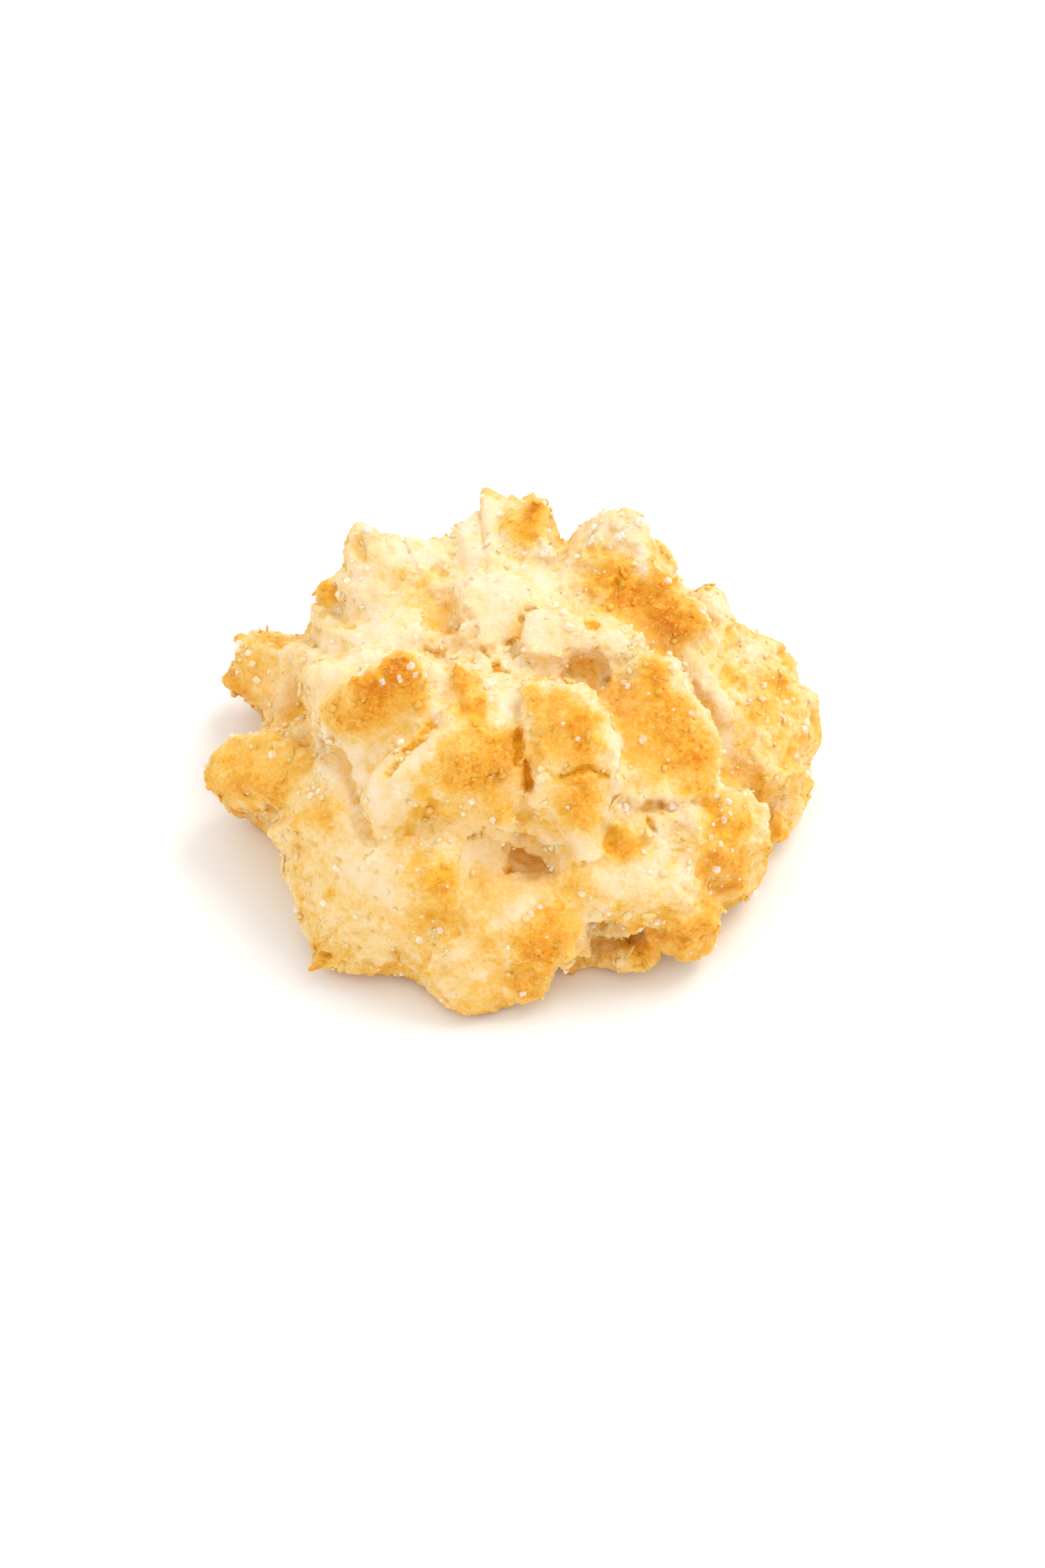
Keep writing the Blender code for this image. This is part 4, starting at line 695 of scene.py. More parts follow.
def rounded(path, closed=False):
    """A smooth path of short steps through the given places."""
    if closed:
        places = np.array([path[-1], *path, path[0], path[1]], float)
    else:
        places = np.array([path[0], *path, path[-1]], float)
    steps = np.linspace(0.0, 1.0, 4, endpoint=False)[:, None]
    parts = []
    for before, start, end, after in zip(places, places[1:], places[2:], places[3:]):
        bend = 2.0 * before - 5.0 * start + 4.0 * end - after
        twist = 3.0 * start - before - 3.0 * end + after
        parts.append(start + 0.5 * ((end - before) * steps + bend * steps ** 2 + twist * steps ** 3))
    return np.concatenate(parts + [places[-2:-1]])


def from_path(places, path):
    """How far places lie from a path, on which side (1 is left), how far along, and the way across."""
    off = np.full(len(places), FAR)
    side = np.zeros(len(places))
    along = np.zeros(len(places))
    across = np.zeros((len(places), 2))
    done = 0.0
    for start, end in zip(path, path[1:]):
        length = np.linalg.norm(end - start)
        way = (end - start) / length
        left = np.array((-way[1], way[0]))
        from_start = places - start
        reached = np.clip(from_start @ way, 0.0, length)
        gap = np.linalg.norm(from_start - reached[:, None] * way, axis=1)
        closer = gap < off
        off = np.where(closer, gap, off)
        side = np.where(closer, np.sign(from_start @ left), side)
        along = np.where(closer, done + reached, along)
        across[closer] = left
        done += length
    return off, side, along, across, done


def inside(places, path):
    """Which places lie inside a closed path."""
    found = np.zeros(len(places), bool)
    for (x1, s1), (x2, s2) in zip(path, path[1:]):
        crosses = (s1 > places[:, 1]) != (s2 > places[:, 1])
        if s1 != s2:
            found ^= crosses & (places[:, 0] < x1 + (x2 - x1) * (places[:, 1] - s1) / (s2 - s1))
    return found


def finished(obj):
    """Apply an object's modifiers."""
    depsgraph = bpy.context.evaluated_depsgraph_get()
    result = bpy.data.meshes.new_from_object(obj.evaluated_get(depsgraph))
    old = obj.data
    obj.modifiers.clear()
    obj.data = result
    bpy.data.meshes.remove(old)


def renew_skin(obj, cell, passes):
    """Remake the skin with even cells of cell mm, and soften it."""
    remesh = obj.modifiers.new("even cells", "REMESH")
    remesh.mode = "VOXEL"
    remesh.voxel_size = cell * MM
    soften = obj.modifiers.new("soften", "SMOOTH")
    soften.factor = 0.5
    soften.iterations = passes
    finished(obj)


def thin_out(obj, triangles):
    """Drop triangles where the skin is flat, down to a number."""
    made = sum(len(face.vertices) - 2 for face in obj.data.polygons)
    thin = obj.modifiers.new("fewer triangles", "DECIMATE")
    thin.ratio = min(1.0, triangles / made)
    finished(obj)


class Skin:
    """The points of the dough in mm, with tools that find places on it and move it."""

    def __init__(self, obj):
        self.obj = obj
        mesh = obj.data
        self.points = read(mesh.vertices, "co", 3).astype(float) / MM
        self.normals = read(mesh.vertices, "normal", 3).astype(float)
        self.edges = np.empty(len(mesh.edges) * 2, np.int64)
        mesh.edges.foreach_get("vertices", self.edges)
        self.edges = self.edges.reshape(-1, 2)
        faces = [tuple(face.vertices) for face in mesh.polygons]
        self.tree = BVHTree.FromPolygons(self.points.tolist(), faces)
        self.plan = on_plan(self.points)
        base = (self.normals[:, 2] < -0.6) & (self.points[:, 2] < 0.6)
        self.free = np.where(base, 0.0, ease(0.0, 0.8, self.points[:, 2]))

    def place(self, x, s):
        """The point of the skin seen at a place on the plan, or None past its edge."""
        toward = AIM + RIGHT * x + RISE * s - EYE
        hit = self.tree.ray_cast(Vector(EYE), Vector(toward).normalized())[0]
        return None if hit is None else np.array(hit)

    def track(self, path, gap=0.35):
        """Points of the skin along a path on the plan."""
        places = [path[0]]
        for (x1, s1), (x2, s2) in zip(path, path[1:]):
            steps = max(1, round(math.hypot(x2 - x1, s2 - s1) / gap))
            for i in range(1, steps + 1):
                part = i / steps
                places.append((x1 + (x2 - x1) * part, s1 + (s2 - s1) * part))
        found = [self.place(x, s) for x, s in places]
        return np.array([point for point in found if point is not None]).reshape(-1, 3)

    def near(self, track, reach):
        """Which points lie within reach of a track, and how far off they are."""
        if len(track) == 0:
            return np.zeros(0, int), np.zeros(0)
        low = track.min(axis=0) - reach
        high = track.max(axis=0) + reach
        boxed = np.nonzero(np.all((self.points > low) & (self.points < high), axis=1))[0]
        gap = np.full(len(boxed), FAR)
        for point in track:
            gap = np.minimum(gap, np.linalg.norm(self.points[boxed] - point, axis=1))
        close = gap < reach
        return boxed[close], gap[close]

    def push(self, which, amount):
        """Move points along their normals by an amount in mm."""
        self.points[which] += self.normals[which] * (amount * self.free[which])[:, None]

    def swell(self, path, radius, height, wobble):
        """Raise or sink the skin along a path."""
        track = self.track(path)
        which, gap = self.near(track, radius * 1.6)
        gap = gap * (1.0 + 0.35 * wobble[which])
        self.push(which, height * (1.0 - ease(0.15, 1.0, gap / (radius * 1.25))))

    def crack(self, path, half_width, depth, wobble):
        """Cut a ragged groove along a path."""
        track = self.track(path)
        which, gap = self.near(track, half_width * 3.0)
        gap = gap * (1.0 + 0.5 * wobble[which])
        self.push(which, -depth * np.exp(-(gap / half_width) ** 2))

    def ledge(self, path, height, lip, wobble):
        """Raise the skin on the left hand of a path and sink it on the right, with a lip between."""
        path = rounded(path)
        track = self.track(path)
        which, _ = self.near(track, 4.0)
        off, side, along, across, done = from_path(self.plan[which], path)
        signed = off * side + 0.38 * wobble[which]
        ends = ease(0.0, 1.0, along) * ease(0.0, 1.0, done - along)
        upper = ease(-0.12, 0.12, signed)
        off = np.abs(signed)
        rise = upper * height * np.exp(-off / 1.7)
        sink = (1.0 - upper) * height * (0.6 * np.exp(-off / 0.7) + 0.4 * np.exp(-(off / 0.3) ** 2))
        self.push(which, (rise - sink) * ends)
        away = across[:, :1] * RIGHT + across[:, 1:] * RISE
        normal = self.normals[which]
        away -= np.einsum("ij,ij->i", away, normal)[:, None] * normal
        shift = lip * upper * np.exp(-off / 0.7) * ends * self.free[which]
        self.points[which] -= away * shift[:, None]

    def within(self, path, edge, wobble):
        """Which points face the eye about a closed path, and how far inside it they are, from 0 to 1."""
        path = rounded(path, closed=True)
        low = path.min(axis=0) - 1.0
        high = path.max(axis=0) + 1.0
        seen = (self.normals @ -AHEAD > 0.0) & np.all((self.plan > low) & (self.plan < high), axis=1)
        which = np.nonzero(seen)[0]
        off = from_path(self.plan[which], path)[0]
        signed = np.where(inside(self.plan[which], path), off, -off) + 0.2 * wobble[which]
        return which, ease(-edge, edge, signed)

    def block(self, path, height, edge, wobble):
        """Raise or sink the skin inside a closed path, all one way, with a steep edge."""
        which, amount = self.within(path, edge, wobble)
        way = (self.normals[which] * amount[:, None]).sum(axis=0)
        way /= np.linalg.norm(way)
        self.points[which] += way * (height * amount * self.free[which])[:, None]

    def iron(self, areas, rounds, wobble):
        """Even out the skin along some paths."""
        amount = self.patches(areas, wobble)
        for _ in range(rounds):
            self.points += (self.averaged(self.points, 1) - self.points) * amount[:, None]

    def fit(self, outline):
        """Draw the skin in or out until its outline on the plan is the given one."""
        places = on_plan(self.points) - MIDDLE
        turn = np.arctan2(places[:, 1], places[:, 0])
        reach = np.linalg.norm(places, axis=1)
        steps = 540
        least = 0.84
        most = 1.16
        turns = (np.arange(steps) + 0.5) / steps * 2.0 * math.pi - math.pi
        present = np.zeros(steps)
        step = np.floor((turn + math.pi) / (2.0 * math.pi) * steps).astype(int) % steps
        np.maximum.at(present, step, reach)
        edge = rounded(outline, closed=True) - MIDDLE
        wanted = np.interp(turns, np.arctan2(edge[:, 1], edge[:, 0]), np.linalg.norm(edge, axis=1),
                           period=2.0 * math.pi)
        ratio = np.interp(turn, turns, np.clip(wanted / present, least, most), period=2.0 * math.pi)
        limit = np.interp(turn, turns, present, period=2.0 * math.pi)
        # the side turned away moves only close to its rim
        start = np.where(self.normals @ AHEAD > 0.0, 0.88, 0.6)
        move = places * ((ratio - 1.0) * ease(start, 0.98, reach / limit))[:, None]
        high = ease(1.0, 5.0, self.points[:, 2])[:, None]
        level = np.array((0.0, 1.0 / math.sin(TILT), 0.0))
        self.points += move[:, :1] * RIGHT + move[:, 1:] * (high * RISE + (1.0 - high) * level)

    def settle(self, top):
        """Lower the peaks smoothly until none stands above top mm."""
        over = max(0.0, self.points[:, 2].max() - top)
        self.points[:, 2] -= over * ease(top - 8.0, top, self.points[:, 2])

    def mark(self, path, radius, wobble, soft=0.5):
        """How much each point belongs to a patch along a path, from 0 to 1."""
        track = self.track(path, 0.6)
        amount = np.zeros(len(self.points))
        which, gap = self.near(track, radius * 1.8)
        gap = gap * (1.0 + 0.45 * wobble[which])
        amount[which] = 1.0 - ease(radius * soft, radius * 1.3, gap)
        return amount

    def patches(self, areas, wobble, soft=0.5):
        """How much each point belongs to the patches: path, radius and, where it isn't 1, strength."""
        amount = np.zeros(len(self.points))
        for path, radius, *strength in areas:
            amount = np.maximum(amount, math.prod(strength) * self.mark(path, radius, wobble, soft))
        return amount

    def averaged(self, values, rounds):
        """Values smoothed over neighbouring points."""
        first, second = self.edges[:, 0], self.edges[:, 1]
        count = len(self.points)
        share = np.bincount(first, minlength=count) + np.bincount(second, minlength=count)
        for _ in range(rounds):
            if values.ndim == 1:
                total = np.bincount(first, values[second], count) + np.bincount(second, values[first], count)
                values = 0.5 * values + 0.5 * total / share
            else:
                values = np.stack([self.averaged(column, 1) for column in values.T], axis=1)
        return values

    def standing(self, rounds):
        """How far each point stands out from the skin round it, in mm."""
        return np.einsum("ij,ij->i", self.points - self.averaged(self.points, rounds), self.normals)

    def write(self):
        """Put the moved points back into the mesh, resting on the table."""
        self.points[:, 2] = np.maximum(self.points[:, 2], 0.0)
        self.obj.data.vertices.foreach_set("co", (self.points * MM).astype(np.float32).ravel())
        self.obj.data.update()


def keep_values(mesh, name, values):
    """Store a value at every point of a mesh, for the material."""
    layer = mesh.attributes.new(name, "FLOAT", "POINT")
    layer.data.foreach_set("value", values.astype(np.float32))


def joined(name, shapes):
    """One mesh object from many (points in mm, faces, values by name) shapes."""
    points = []
    faces = []
    values = {}
    start = 0
    for shape_points, shape_faces, shape_values in shapes:
        points.append(shape_points)
        faces.extend([tuple(i + start for i in face) for face in shape_faces])
        for key, value in shape_values.items():
            values.setdefault(key, []).append(np.full(len(shape_points), value))
        start += len(shape_points)
    mesh = bpy.data.meshes.new(name)
    mesh.from_pydata((np.concatenate(points) * MM).tolist(), [], faces)
    mesh.update()
    for key, parts in values.items():
        keep_values(mesh, key, np.concatenate(parts))
    obj = bpy.data.objects.new(name, mesh)
    bpy.context.scene.collection.objects.link(obj)
    return obj


def parts_of(bm):
    """The points and faces of a small shape, which is then freed."""
    mesh = bpy.data.meshes.new("small shape")
    bm.to_mesh(mesh)
    bm.free()
    points = read(mesh.vertices, "co", 3).astype(float)
    faces = [tuple(face.vertices) for face in mesh.polygons]
    bpy.data.meshes.remove(mesh)
    return points, faces


def turned(draw):
    """A random turn, as a 3 by 3 matrix."""
    turn, _ = np.linalg.qr(draw.normal(size=(3, 3)))
    return turn * np.sign(np.linalg.det(turn))


def shade_smooth(mesh, smooth):
    """Shade every face smooth or flat."""
    mesh.polygons.foreach_set("use_smooth", np.full(len(mesh.polygons), smooth))
    mesh.update()


# ---------------------------------------------------------------- material nodes


class Wire:
    """An output socket that can be used in sums."""

    def __init__(self, graph, socket):
        self.graph = graph
        self.socket = socket

    def __add__(self, other):
        return self.graph.sum("ADD", self, other)

    __radd__ = __add__

    def __sub__(self, other):
        return self.graph.sum("SUBTRACT", self, other)

    def __rsub__(self, other):
        return self.graph.sum("SUBTRACT", other, self)

    def __mul__(self, other):
        return self.graph.sum("MULTIPLY", self, other)

    __rmul__ = __mul__

    def clamped(self):
        """The value held between 0 and 1."""
        return self.graph.sum("ADD", self, 0.0, clamp=True)


class Graph:
    """The node tree of one material."""

    def __init__(self, name):
        self.material = bpy.data.materials.new(name)
        self.material.use_nodes = True
        self.nodes = self.material.node_tree.nodes
        self.links = self.material.node_tree.links
        self.shader = self.nodes["Principled BSDF"]

    def put(self, socket, value):
        """Link a wire to a socket, or set the socket."""
        if isinstance(value, Wire):
            self.links.new(value.socket, socket)
        else:
            socket.default_value = value

    def node(self, kind, settings, inputs, output=0):
        """Add a node: its type, its settings, its sockets' values or links, and which output to use."""
        made = self.nodes.new(kind)
        for key, value in settings.items():
            setattr(made, key, value)
        for key, value in inputs.items():
            self.put(made.inputs[key], value)
        return Wire(self, made.outputs[output])

    def sum(self, operation, first, second, clamp=False):
        """Work out one step of arithmetic."""
        return self.node("ShaderNodeMath", {"operation": operation, "use_clamp": clamp},
                         {0: first, 1: second})

    def blend(self, factor, first, second):
        """Mix two colours."""
        return self.node("ShaderNodeMix", {"data_type": "RGBA"}, {0: factor, 6: first, 7: second}, 2)

    def value(self, name):
        """A value stored at the mesh's points."""
        return self.node("ShaderNodeAttribute", {"attribute_name": name}, {}, "Fac")

    def place(self):
        """The place on the object, in mm."""
        there = self.node("ShaderNodeTexCoord", {}, {}, "Object")
        return self.node("ShaderNodeVectorMath", {"operation": "SCALE"}, {0: there, "Scale": 1.0 / MM})

    def noise(self, place, wave, detail=3.0, stretch=0.0):
        """Cloudy noise from 0 to 1 with a wavelength in mm."""
        return self.node("ShaderNodeTexNoise", {},
                         {"Vector": place, "Scale": 1.0 / wave, "Detail": detail, "Distortion": stretch})

    def window(self, value, low, high):
        """Go smoothly from 0 where a value is low to 1 where it is high."""
        return self.node("ShaderNodeMapRange", {"interpolation_type": "SMOOTHSTEP"},
                         {"Value": value, "From Min": low, "From Max": high})

    def ramp(self, factor, stops):
        """Colours along a ramp: (place, colour) pairs."""
        made = self.nodes.new("ShaderNodeValToRGB")
        while len(made.color_ramp.elements) < len(stops):
            made.color_ramp.elements.new(1.0)
        for element, (position, colour) in zip(made.color_ramp.elements, stops):
            element.position = position
            element.color = colour
        self.put(made.inputs[0], factor)
        return Wire(self, made.outputs[0])


def full(colour):
    """A colour with its alpha."""
    return (*colour, 1.0)


def dough_material(name, look):
    """Baked dough: pale where soft, gold to brown where toasted, with painted glow and shade in its pits,
    cracks and recesses.
    """
    graph = Graph(name)
    place = graph.place()
    cloud = graph.noise(place, 2.6, 4.0)
    blotch = graph.noise(place, 1.0, 4.0)
    grain = graph.noise(place, 0.42, 3.0)
    speck = graph.noise(place, 0.20, 1.0)
    toast = graph.value("toast")
    mottle = (cloud - 0.5) * 1.3 + (blotch - 0.5) * 1.3 + (grain - 0.5) * 1.1 + (speck - 0.5) * 0.5
    heat = toast + mottle * (0.20 + 0.38 * toast)
    scorch = graph.noise(place, 0.62, 3.0, 0.6)
    heat = heat + graph.window(scorch, 0.56, 0.66) * toast * 0.30
    colour = graph.ramp(heat.clamped(), (
        (0.0, full(look.pale)), (0.20, full(look.cream)), (0.42, full(look.gold)),
        (0.70, full(look.toast)), (1.0, full(look.dark))))
    sandy = graph.noise(place, 0.34, 2.0, 0.4)
    colour = graph.blend(graph.window(sandy, 0.57, 0.67) * (0.12 + 0.32 * toast), colour, full(look.cream))
    # Painted glow and shade: pits, cracks and pockets turn deep gold, the deepest darker, and darkest where
    # toasted.
    pit = (graph.value("hollow") * (1.0 + (grain - 0.5) * 1.2)).clamped()
    gap = graph.blend(graph.window(pit, 0.65, 1.0), full(look.pit), full(look.gap))
    gap = graph.blend(graph.window(pit * toast, 0.7, 1.0), gap, full(look.dark))
    # Painted shade: recess walls turn a warm tan where the dough is not toasted.
    colour = graph.blend(graph.value("painted_shade") * (1.0 - toast) * 0.8, colour, full(look.shade))
    colour = graph.blend(pit, colour, gap)
    graph.put(graph.shader.inputs["Base Color"], colour)
    graph.put(graph.shader.inputs["Roughness"], 0.60 - 0.16 * toast + 0.3 * (grain - 0.5))
    height = blotch * 0.45 + grain * 0.35 + speck * 0.20
    bump = graph.node("ShaderNodeBump", {}, {"Strength": look.bump, "Distance": 0.40 * MM, "Height": height})
    graph.put(graph.shader.inputs["Normal"], bump)
    graph.shader.inputs["Specular IOR Level"].default_value = 0.15
    graph.shader.subsurface_method = "RANDOM_WALK"
    graph.shader.inputs["Subsurface Weight"].default_value = look.glow
    graph.shader.inputs["Subsurface Radius"].default_value = (1.0, 0.42, 0.14)
    graph.shader.inputs["Subsurface Scale"].default_value = 1.0 * MM
    return graph.material


def sugar_material():
    """Sugar crystals that let the dough show through, a little cloudy."""
    graph = Graph("sugar crystal")
    cloud = graph.noise(graph.place(), 0.4)
    graph.put(graph.shader.inputs["Base Color"],
              graph.blend(cloud, (1.0, 0.99, 0.96, 1.0), (1.0, 0.95, 0.85, 1.0)))
    graph.put(graph.shader.inputs["Alpha"], 0.10 + 0.65 * cloud)
    graph.shader.inputs["Roughness"].default_value = 0.12
    graph.shader.inputs["Specular IOR Level"].default_value = 0.8
    return graph.material


# ---------------------------------------------------------------- settings


class MacaroonSkinSettings(bpy.types.PropertyGroup):
    """How rough the dough is."""

    first_cell: FloatProperty(name="First cell", description="Cell of the first skin, mm", default=0.32)
    cell: FloatProperty(name="Cell", description="Cell of the finished skin, mm", default=0.23)
    triangles: IntProperty(name="Triangles", description="Triangles in the finished skin", default=190000)
    tear: FloatProperty(name="Tear", description="Height of the torn plateaus, mm", default=0.5)
    crumb: FloatProperty(name="Crumb", description="Height of the crumbly grain, mm", default=0.13)
    pock: FloatProperty(name="Pock", description="Depth of the scattered pits, mm", default=0.4)


class MacaroonLookSettings(bpy.types.PropertyGroup):
    """Colours of the dough."""

    pale: FloatVectorProperty(name="Pale", description="Soft dough", subtype="COLOR", size=3,
                              default=(0.88, 0.725, 0.51))
    cream: FloatVectorProperty(name="Cream", description="Just baked dough", subtype="COLOR", size=3,
                               default=(0.87, 0.645, 0.32))
    gold: FloatVectorProperty(name="Gold", description="Golden crust", subtype="COLOR", size=3,
                              default=(0.85, 0.50, 0.10))
    toast: FloatVectorProperty(name="Toast", description="Browned crust", subtype="COLOR", size=3,
                               default=(0.81, 0.36, 0.025))
    dark: FloatVectorProperty(name="Dark", description="Darkest tips", subtype="COLOR", size=3,
                              default=(0.68, 0.215, 0.005))
    # Pit and gap are the colours of the painted glow and shade laid into pits, cracks and pockets.
    pit: FloatVectorProperty(name="Pit", description="Inside pits and cracks", subtype="COLOR", size=3,
                             default=(0.92, 0.53, 0.045))
    gap: FloatVectorProperty(name="Gap", description="Deepest inside a gap", subtype="COLOR", size=3,
                             default=(0.80, 0.36, 0.012))
    # Shade is the colour of the painted shade on recess walls.
    shade: FloatVectorProperty(name="Shade", description="Walls of the recesses", subtype="COLOR", size=3,
                               default=(0.80, 0.50, 0.22))
    glow: FloatProperty(name="Glow", description="How much light passes under the skin", default=0.25,
                        min=0.0, max=1.0, subtype="FACTOR")
    bump: FloatProperty(name="Bump", description="Strength of the finest grain", default=0.7,
                        min=0.0, max=1.0, subtype="FACTOR")


class MacaroonToppingSettings(bpy.types.PropertyGroup):
    """Sugar and crumbs on the dough."""

    sugar: IntProperty(name="Sugar", description="Number of sugar crystals", default=620)
    sugar_small: FloatProperty(name="Smallest crystal", description="Size of the smallest, mm", default=0.25)
    sugar_large: FloatProperty(name="Largest crystal", description="Size of the largest, mm", default=0.8)
    crumbs: IntProperty(name="Crumbs", description="Number of loose crumbs", default=900)
    crumb_small: FloatProperty(name="Smallest crumb", description="Size of the smallest, mm", default=0.25)
    crumb_large: FloatProperty(name="Largest crumb", description="Size of the largest, mm", default=0.8)
    flakes: IntProperty(name="Flakes", description="Number of scattered flakes", default=90)


class MacaroonStageSettings(bpy.types.PropertyGroup):
    """Floor, light and camera."""

    ambient: FloatProperty(name="Ambient", description="Strength of the even light", default=1.08)
    key: FloatProperty(name="Key", description="Strength of the key light", default=1.3)
    lens: FloatProperty(name="Lens", description="Focal length, mm", default=100.0)


# ---------------------------------------------------------------- pieces


def body_piece():
    """The finished dough object."""
    return bpy.data.objects["dough"]


def open_skin(skin):
    """How open the skin is at each point: low in pits, cracks and recesses, 1 elsewhere."""
    hollow = read(skin.obj.data.attributes["hollow"].data, "value", 1)
    painted_shade = read(skin.obj.data.attributes["painted_shade"].data, "value", 1)
    return np.clip(1.0 - 1.6 * hollow, 0.0, 1.0) * (1.0 - 0.7 * painted_shade)


def add_stray(skin, count, weight, draw):
    """Pick random points of the skin, more often where the weight is high."""
    chance = np.clip(weight, 0.0, None)
    return draw.choice(len(skin.points), size=count, replace=False, p=chance / chance.sum())


def drawn_size(small, large, power, draw):
    """A random size: the higher the power, the more of them are small."""
    return small + (large - small) * draw.random() ** power


def add_topping(name, shapes, material, smooth):
    """Join scattered shapes into one piece that stays on the dough."""
    obj = joined(name, shapes)
    obj.data.materials.append(material)
    shade_smooth(obj.data, smooth)
    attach(obj, "root")


class MACAROON_OT_dough(bpy.types.Operator):
    """Build the rough baked dough"""

    bl_idname = "macaroon.dough"
    bl_label = "Dough"

    def execute(self, context):
        settings = context.scene.macaroon_skin
        obj = bpy.data.objects.new("dough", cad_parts[NODE].data.copy())
        obj.data.materials.clear()
        context.scene.collection.objects.link(obj)
        renew_skin(obj, settings.first_cell, 5)
        self.draw_outline(obj)
        skin = Skin(obj)
        skin.iron(IRONED, IRON_ROUNDS, rough(skin.points, wave=1.3, octaves=3, seed=15))
        skin.write()
        self.shape(Skin(obj), settings)
        renew_skin(obj, settings.cell, 1)
        self.draw_outline(obj)
        self.detail(Skin(obj), settings)
        thin_out(obj, settings.triangles)
        self.colour(Skin(obj))
        obj.data.materials.append(dough_material("baked dough", context.scene.macaroon_look))
        shade_smooth(obj.data, True)
        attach(obj, "root")
        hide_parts(NODE)
        return {"FINISHED"}

    def draw_outline(self, obj):
        """Fit the skin to the outline."""
        skin = Skin(obj)
        skin.fit(OUTLINE)
        skin.write()

    def shape(self, skin, settings):
        """Swellings, torn blocks and ledges."""
        wobble = rough(skin.points, wave=1.3, octaves=4, seed=11)
        for path, radius, height in SWELLINGS:
            skin.swell(path, radius, height, wobble)
        torn = self.torn(skin)
        ragged = bent(skin.points, 0.55, wave=1.6, octaves=4, seeds=(23, 27, 29))
        large, large_joint = slabs(ragged, wave=3.4, seed=21)
        small, small_joint = slabs(ragged, wave=1.6, seed=31)
        lift = 0.75 * large - 0.6 * large_joint + 0.45 * small - 0.35 * small_joint
        skin.push(slice(None), settings.tear * torn * lift)
        for path, height, edge in BLOCKS:
            skin.block(path, height, edge, wobble)
        for path, height, lip in LEDGES:
            skin.ledge(path, height, lip, wobble)
        skin.write()

    def torn(self, skin):
        """How torn each point is, from 0 on smooth faces to 1."""
        wobble = rough(skin.points, wave=2.2, octaves=3, seed=13)
        return 1.0 - 0.85 * skin.patches(SMOOTH, wobble, soft=0.6)

    def detail(self, skin, settings):
        """Pockets, cracks, pits and crumbly grain."""
        wobble = rough(skin.points, wave=0.9, octaves=3, seed=41)
        for path, depth, _ in POCKETS:
            skin.block(path, -depth, 0.12, wobble)
        for path, half_width, depth, _ in GAPS:
            skin.crack(path, half_width, depth, wobble)
        torn = self.torn(skin)
        ragged = bent(skin.points, 0.35, wave=0.8, octaves=2, seeds=(51, 53, 55))
        large_pits = pocks(ragged, wave=2.6, seed=61, share=0.3)
        small_pits = pocks(ragged, wave=1.4, seed=71, share=0.22)
        level, joint = slabs(ragged, wave=0.95, seed=77)
        waves = rough(skin.points, wave=1.1, octaves=3, seed=81)
        grain = 0.8 * waves + 0.7 * level * torn - 0.5 * joint * torn
        skin.push(slice(None), settings.crumb * grain - settings.pock * (large_pits + 0.6 * small_pits))
        skin.settle(TOP)
        skin.write()

    def colour(self, skin):
        """Where the dough is toasted, and where glow and shade are painted into it."""
        wobble = rough(skin.points, wave=2.0, octaves=5, seed=91)
        keep = np.ones(len(skin.points))
        # The listed browning; a few of its patches are painted shade in the slit and in recesses.
        for path, radius, amount in TOASTED_AND_SHADED:
            keep *= 1.0 - 0.85 * amount * skin.mark(path, radius, wobble, soft=0.1)
        toast = 1.0 - keep
        hidden = 1.0 - ease(-0.1, 0.3, skin.normals @ -AHEAD)
        peaks = ease(0.6, 2.4, skin.standing(PEAK_ROUNDS))
        toast = np.maximum(toast, 0.55 * peaks * (0.3 + 0.7 * hidden))
        blotches = ease(0.0, 0.6, rough(skin.points, wave=7.5, octaves=3, seed=97))
        toast = np.maximum(toast, 0.55 * blotches * hidden)
        toast = np.maximum(toast, 0.45 * ease(2.4, 0.2, skin.points[:, 2]))
        toast = skin.averaged(toast, SOFT_ROUNDS)
        pale = skin.patches(PALE, wobble, soft=0.2)
        height = ease(10.0, 24.0, skin.points[:, 2])
        toast = toast * (1.0 - 0.7 * pale) + (0.26 - 0.12 * height) * (1.0 - 0.8 * pale) * (1.0 - toast)
        # Painted glow and shade: the further a point sinks below the skin round it, and inside the listed
        # patches, cracks and pockets, the deeper the gold laid on it.
        fine = skin.standing(FINE_ROUNDS)
        broad = skin.standing(BROAD_ROUNDS)
        hollow = 0.7 * ease(0.03, 0.20, -fine) + 0.25 * ease(0.3, 1.0, -broad)
        hollow = np.maximum(hollow, skin.patches(GLOW_AND_SHADE, wobble, soft=0.1))
        torn_edge = rough(skin.points, wave=0.9, octaves=3, seed=41)
        for path, half_width, _, glow in GAPS:
            hollow = np.maximum(hollow, glow * skin.mark(path, half_width * 1.5, torn_edge, soft=0.4))
        for path, _, glow in POCKETS:
            which, amount = skin.within(path, 0.14, torn_edge)
            hollow[which] = np.maximum(hollow[which], glow * amount)
        keep_values(skin.obj.data, "toast", np.clip(toast, 0.0, 1.0))
        keep_values(skin.obj.data, "hollow", np.clip(hollow, 0.0, 1.0))
        # Painted shade on the walls of the listed recesses.
        keep_values(skin.obj.data, "painted_shade", skin.patches(SHADED, wobble, soft=0.1))


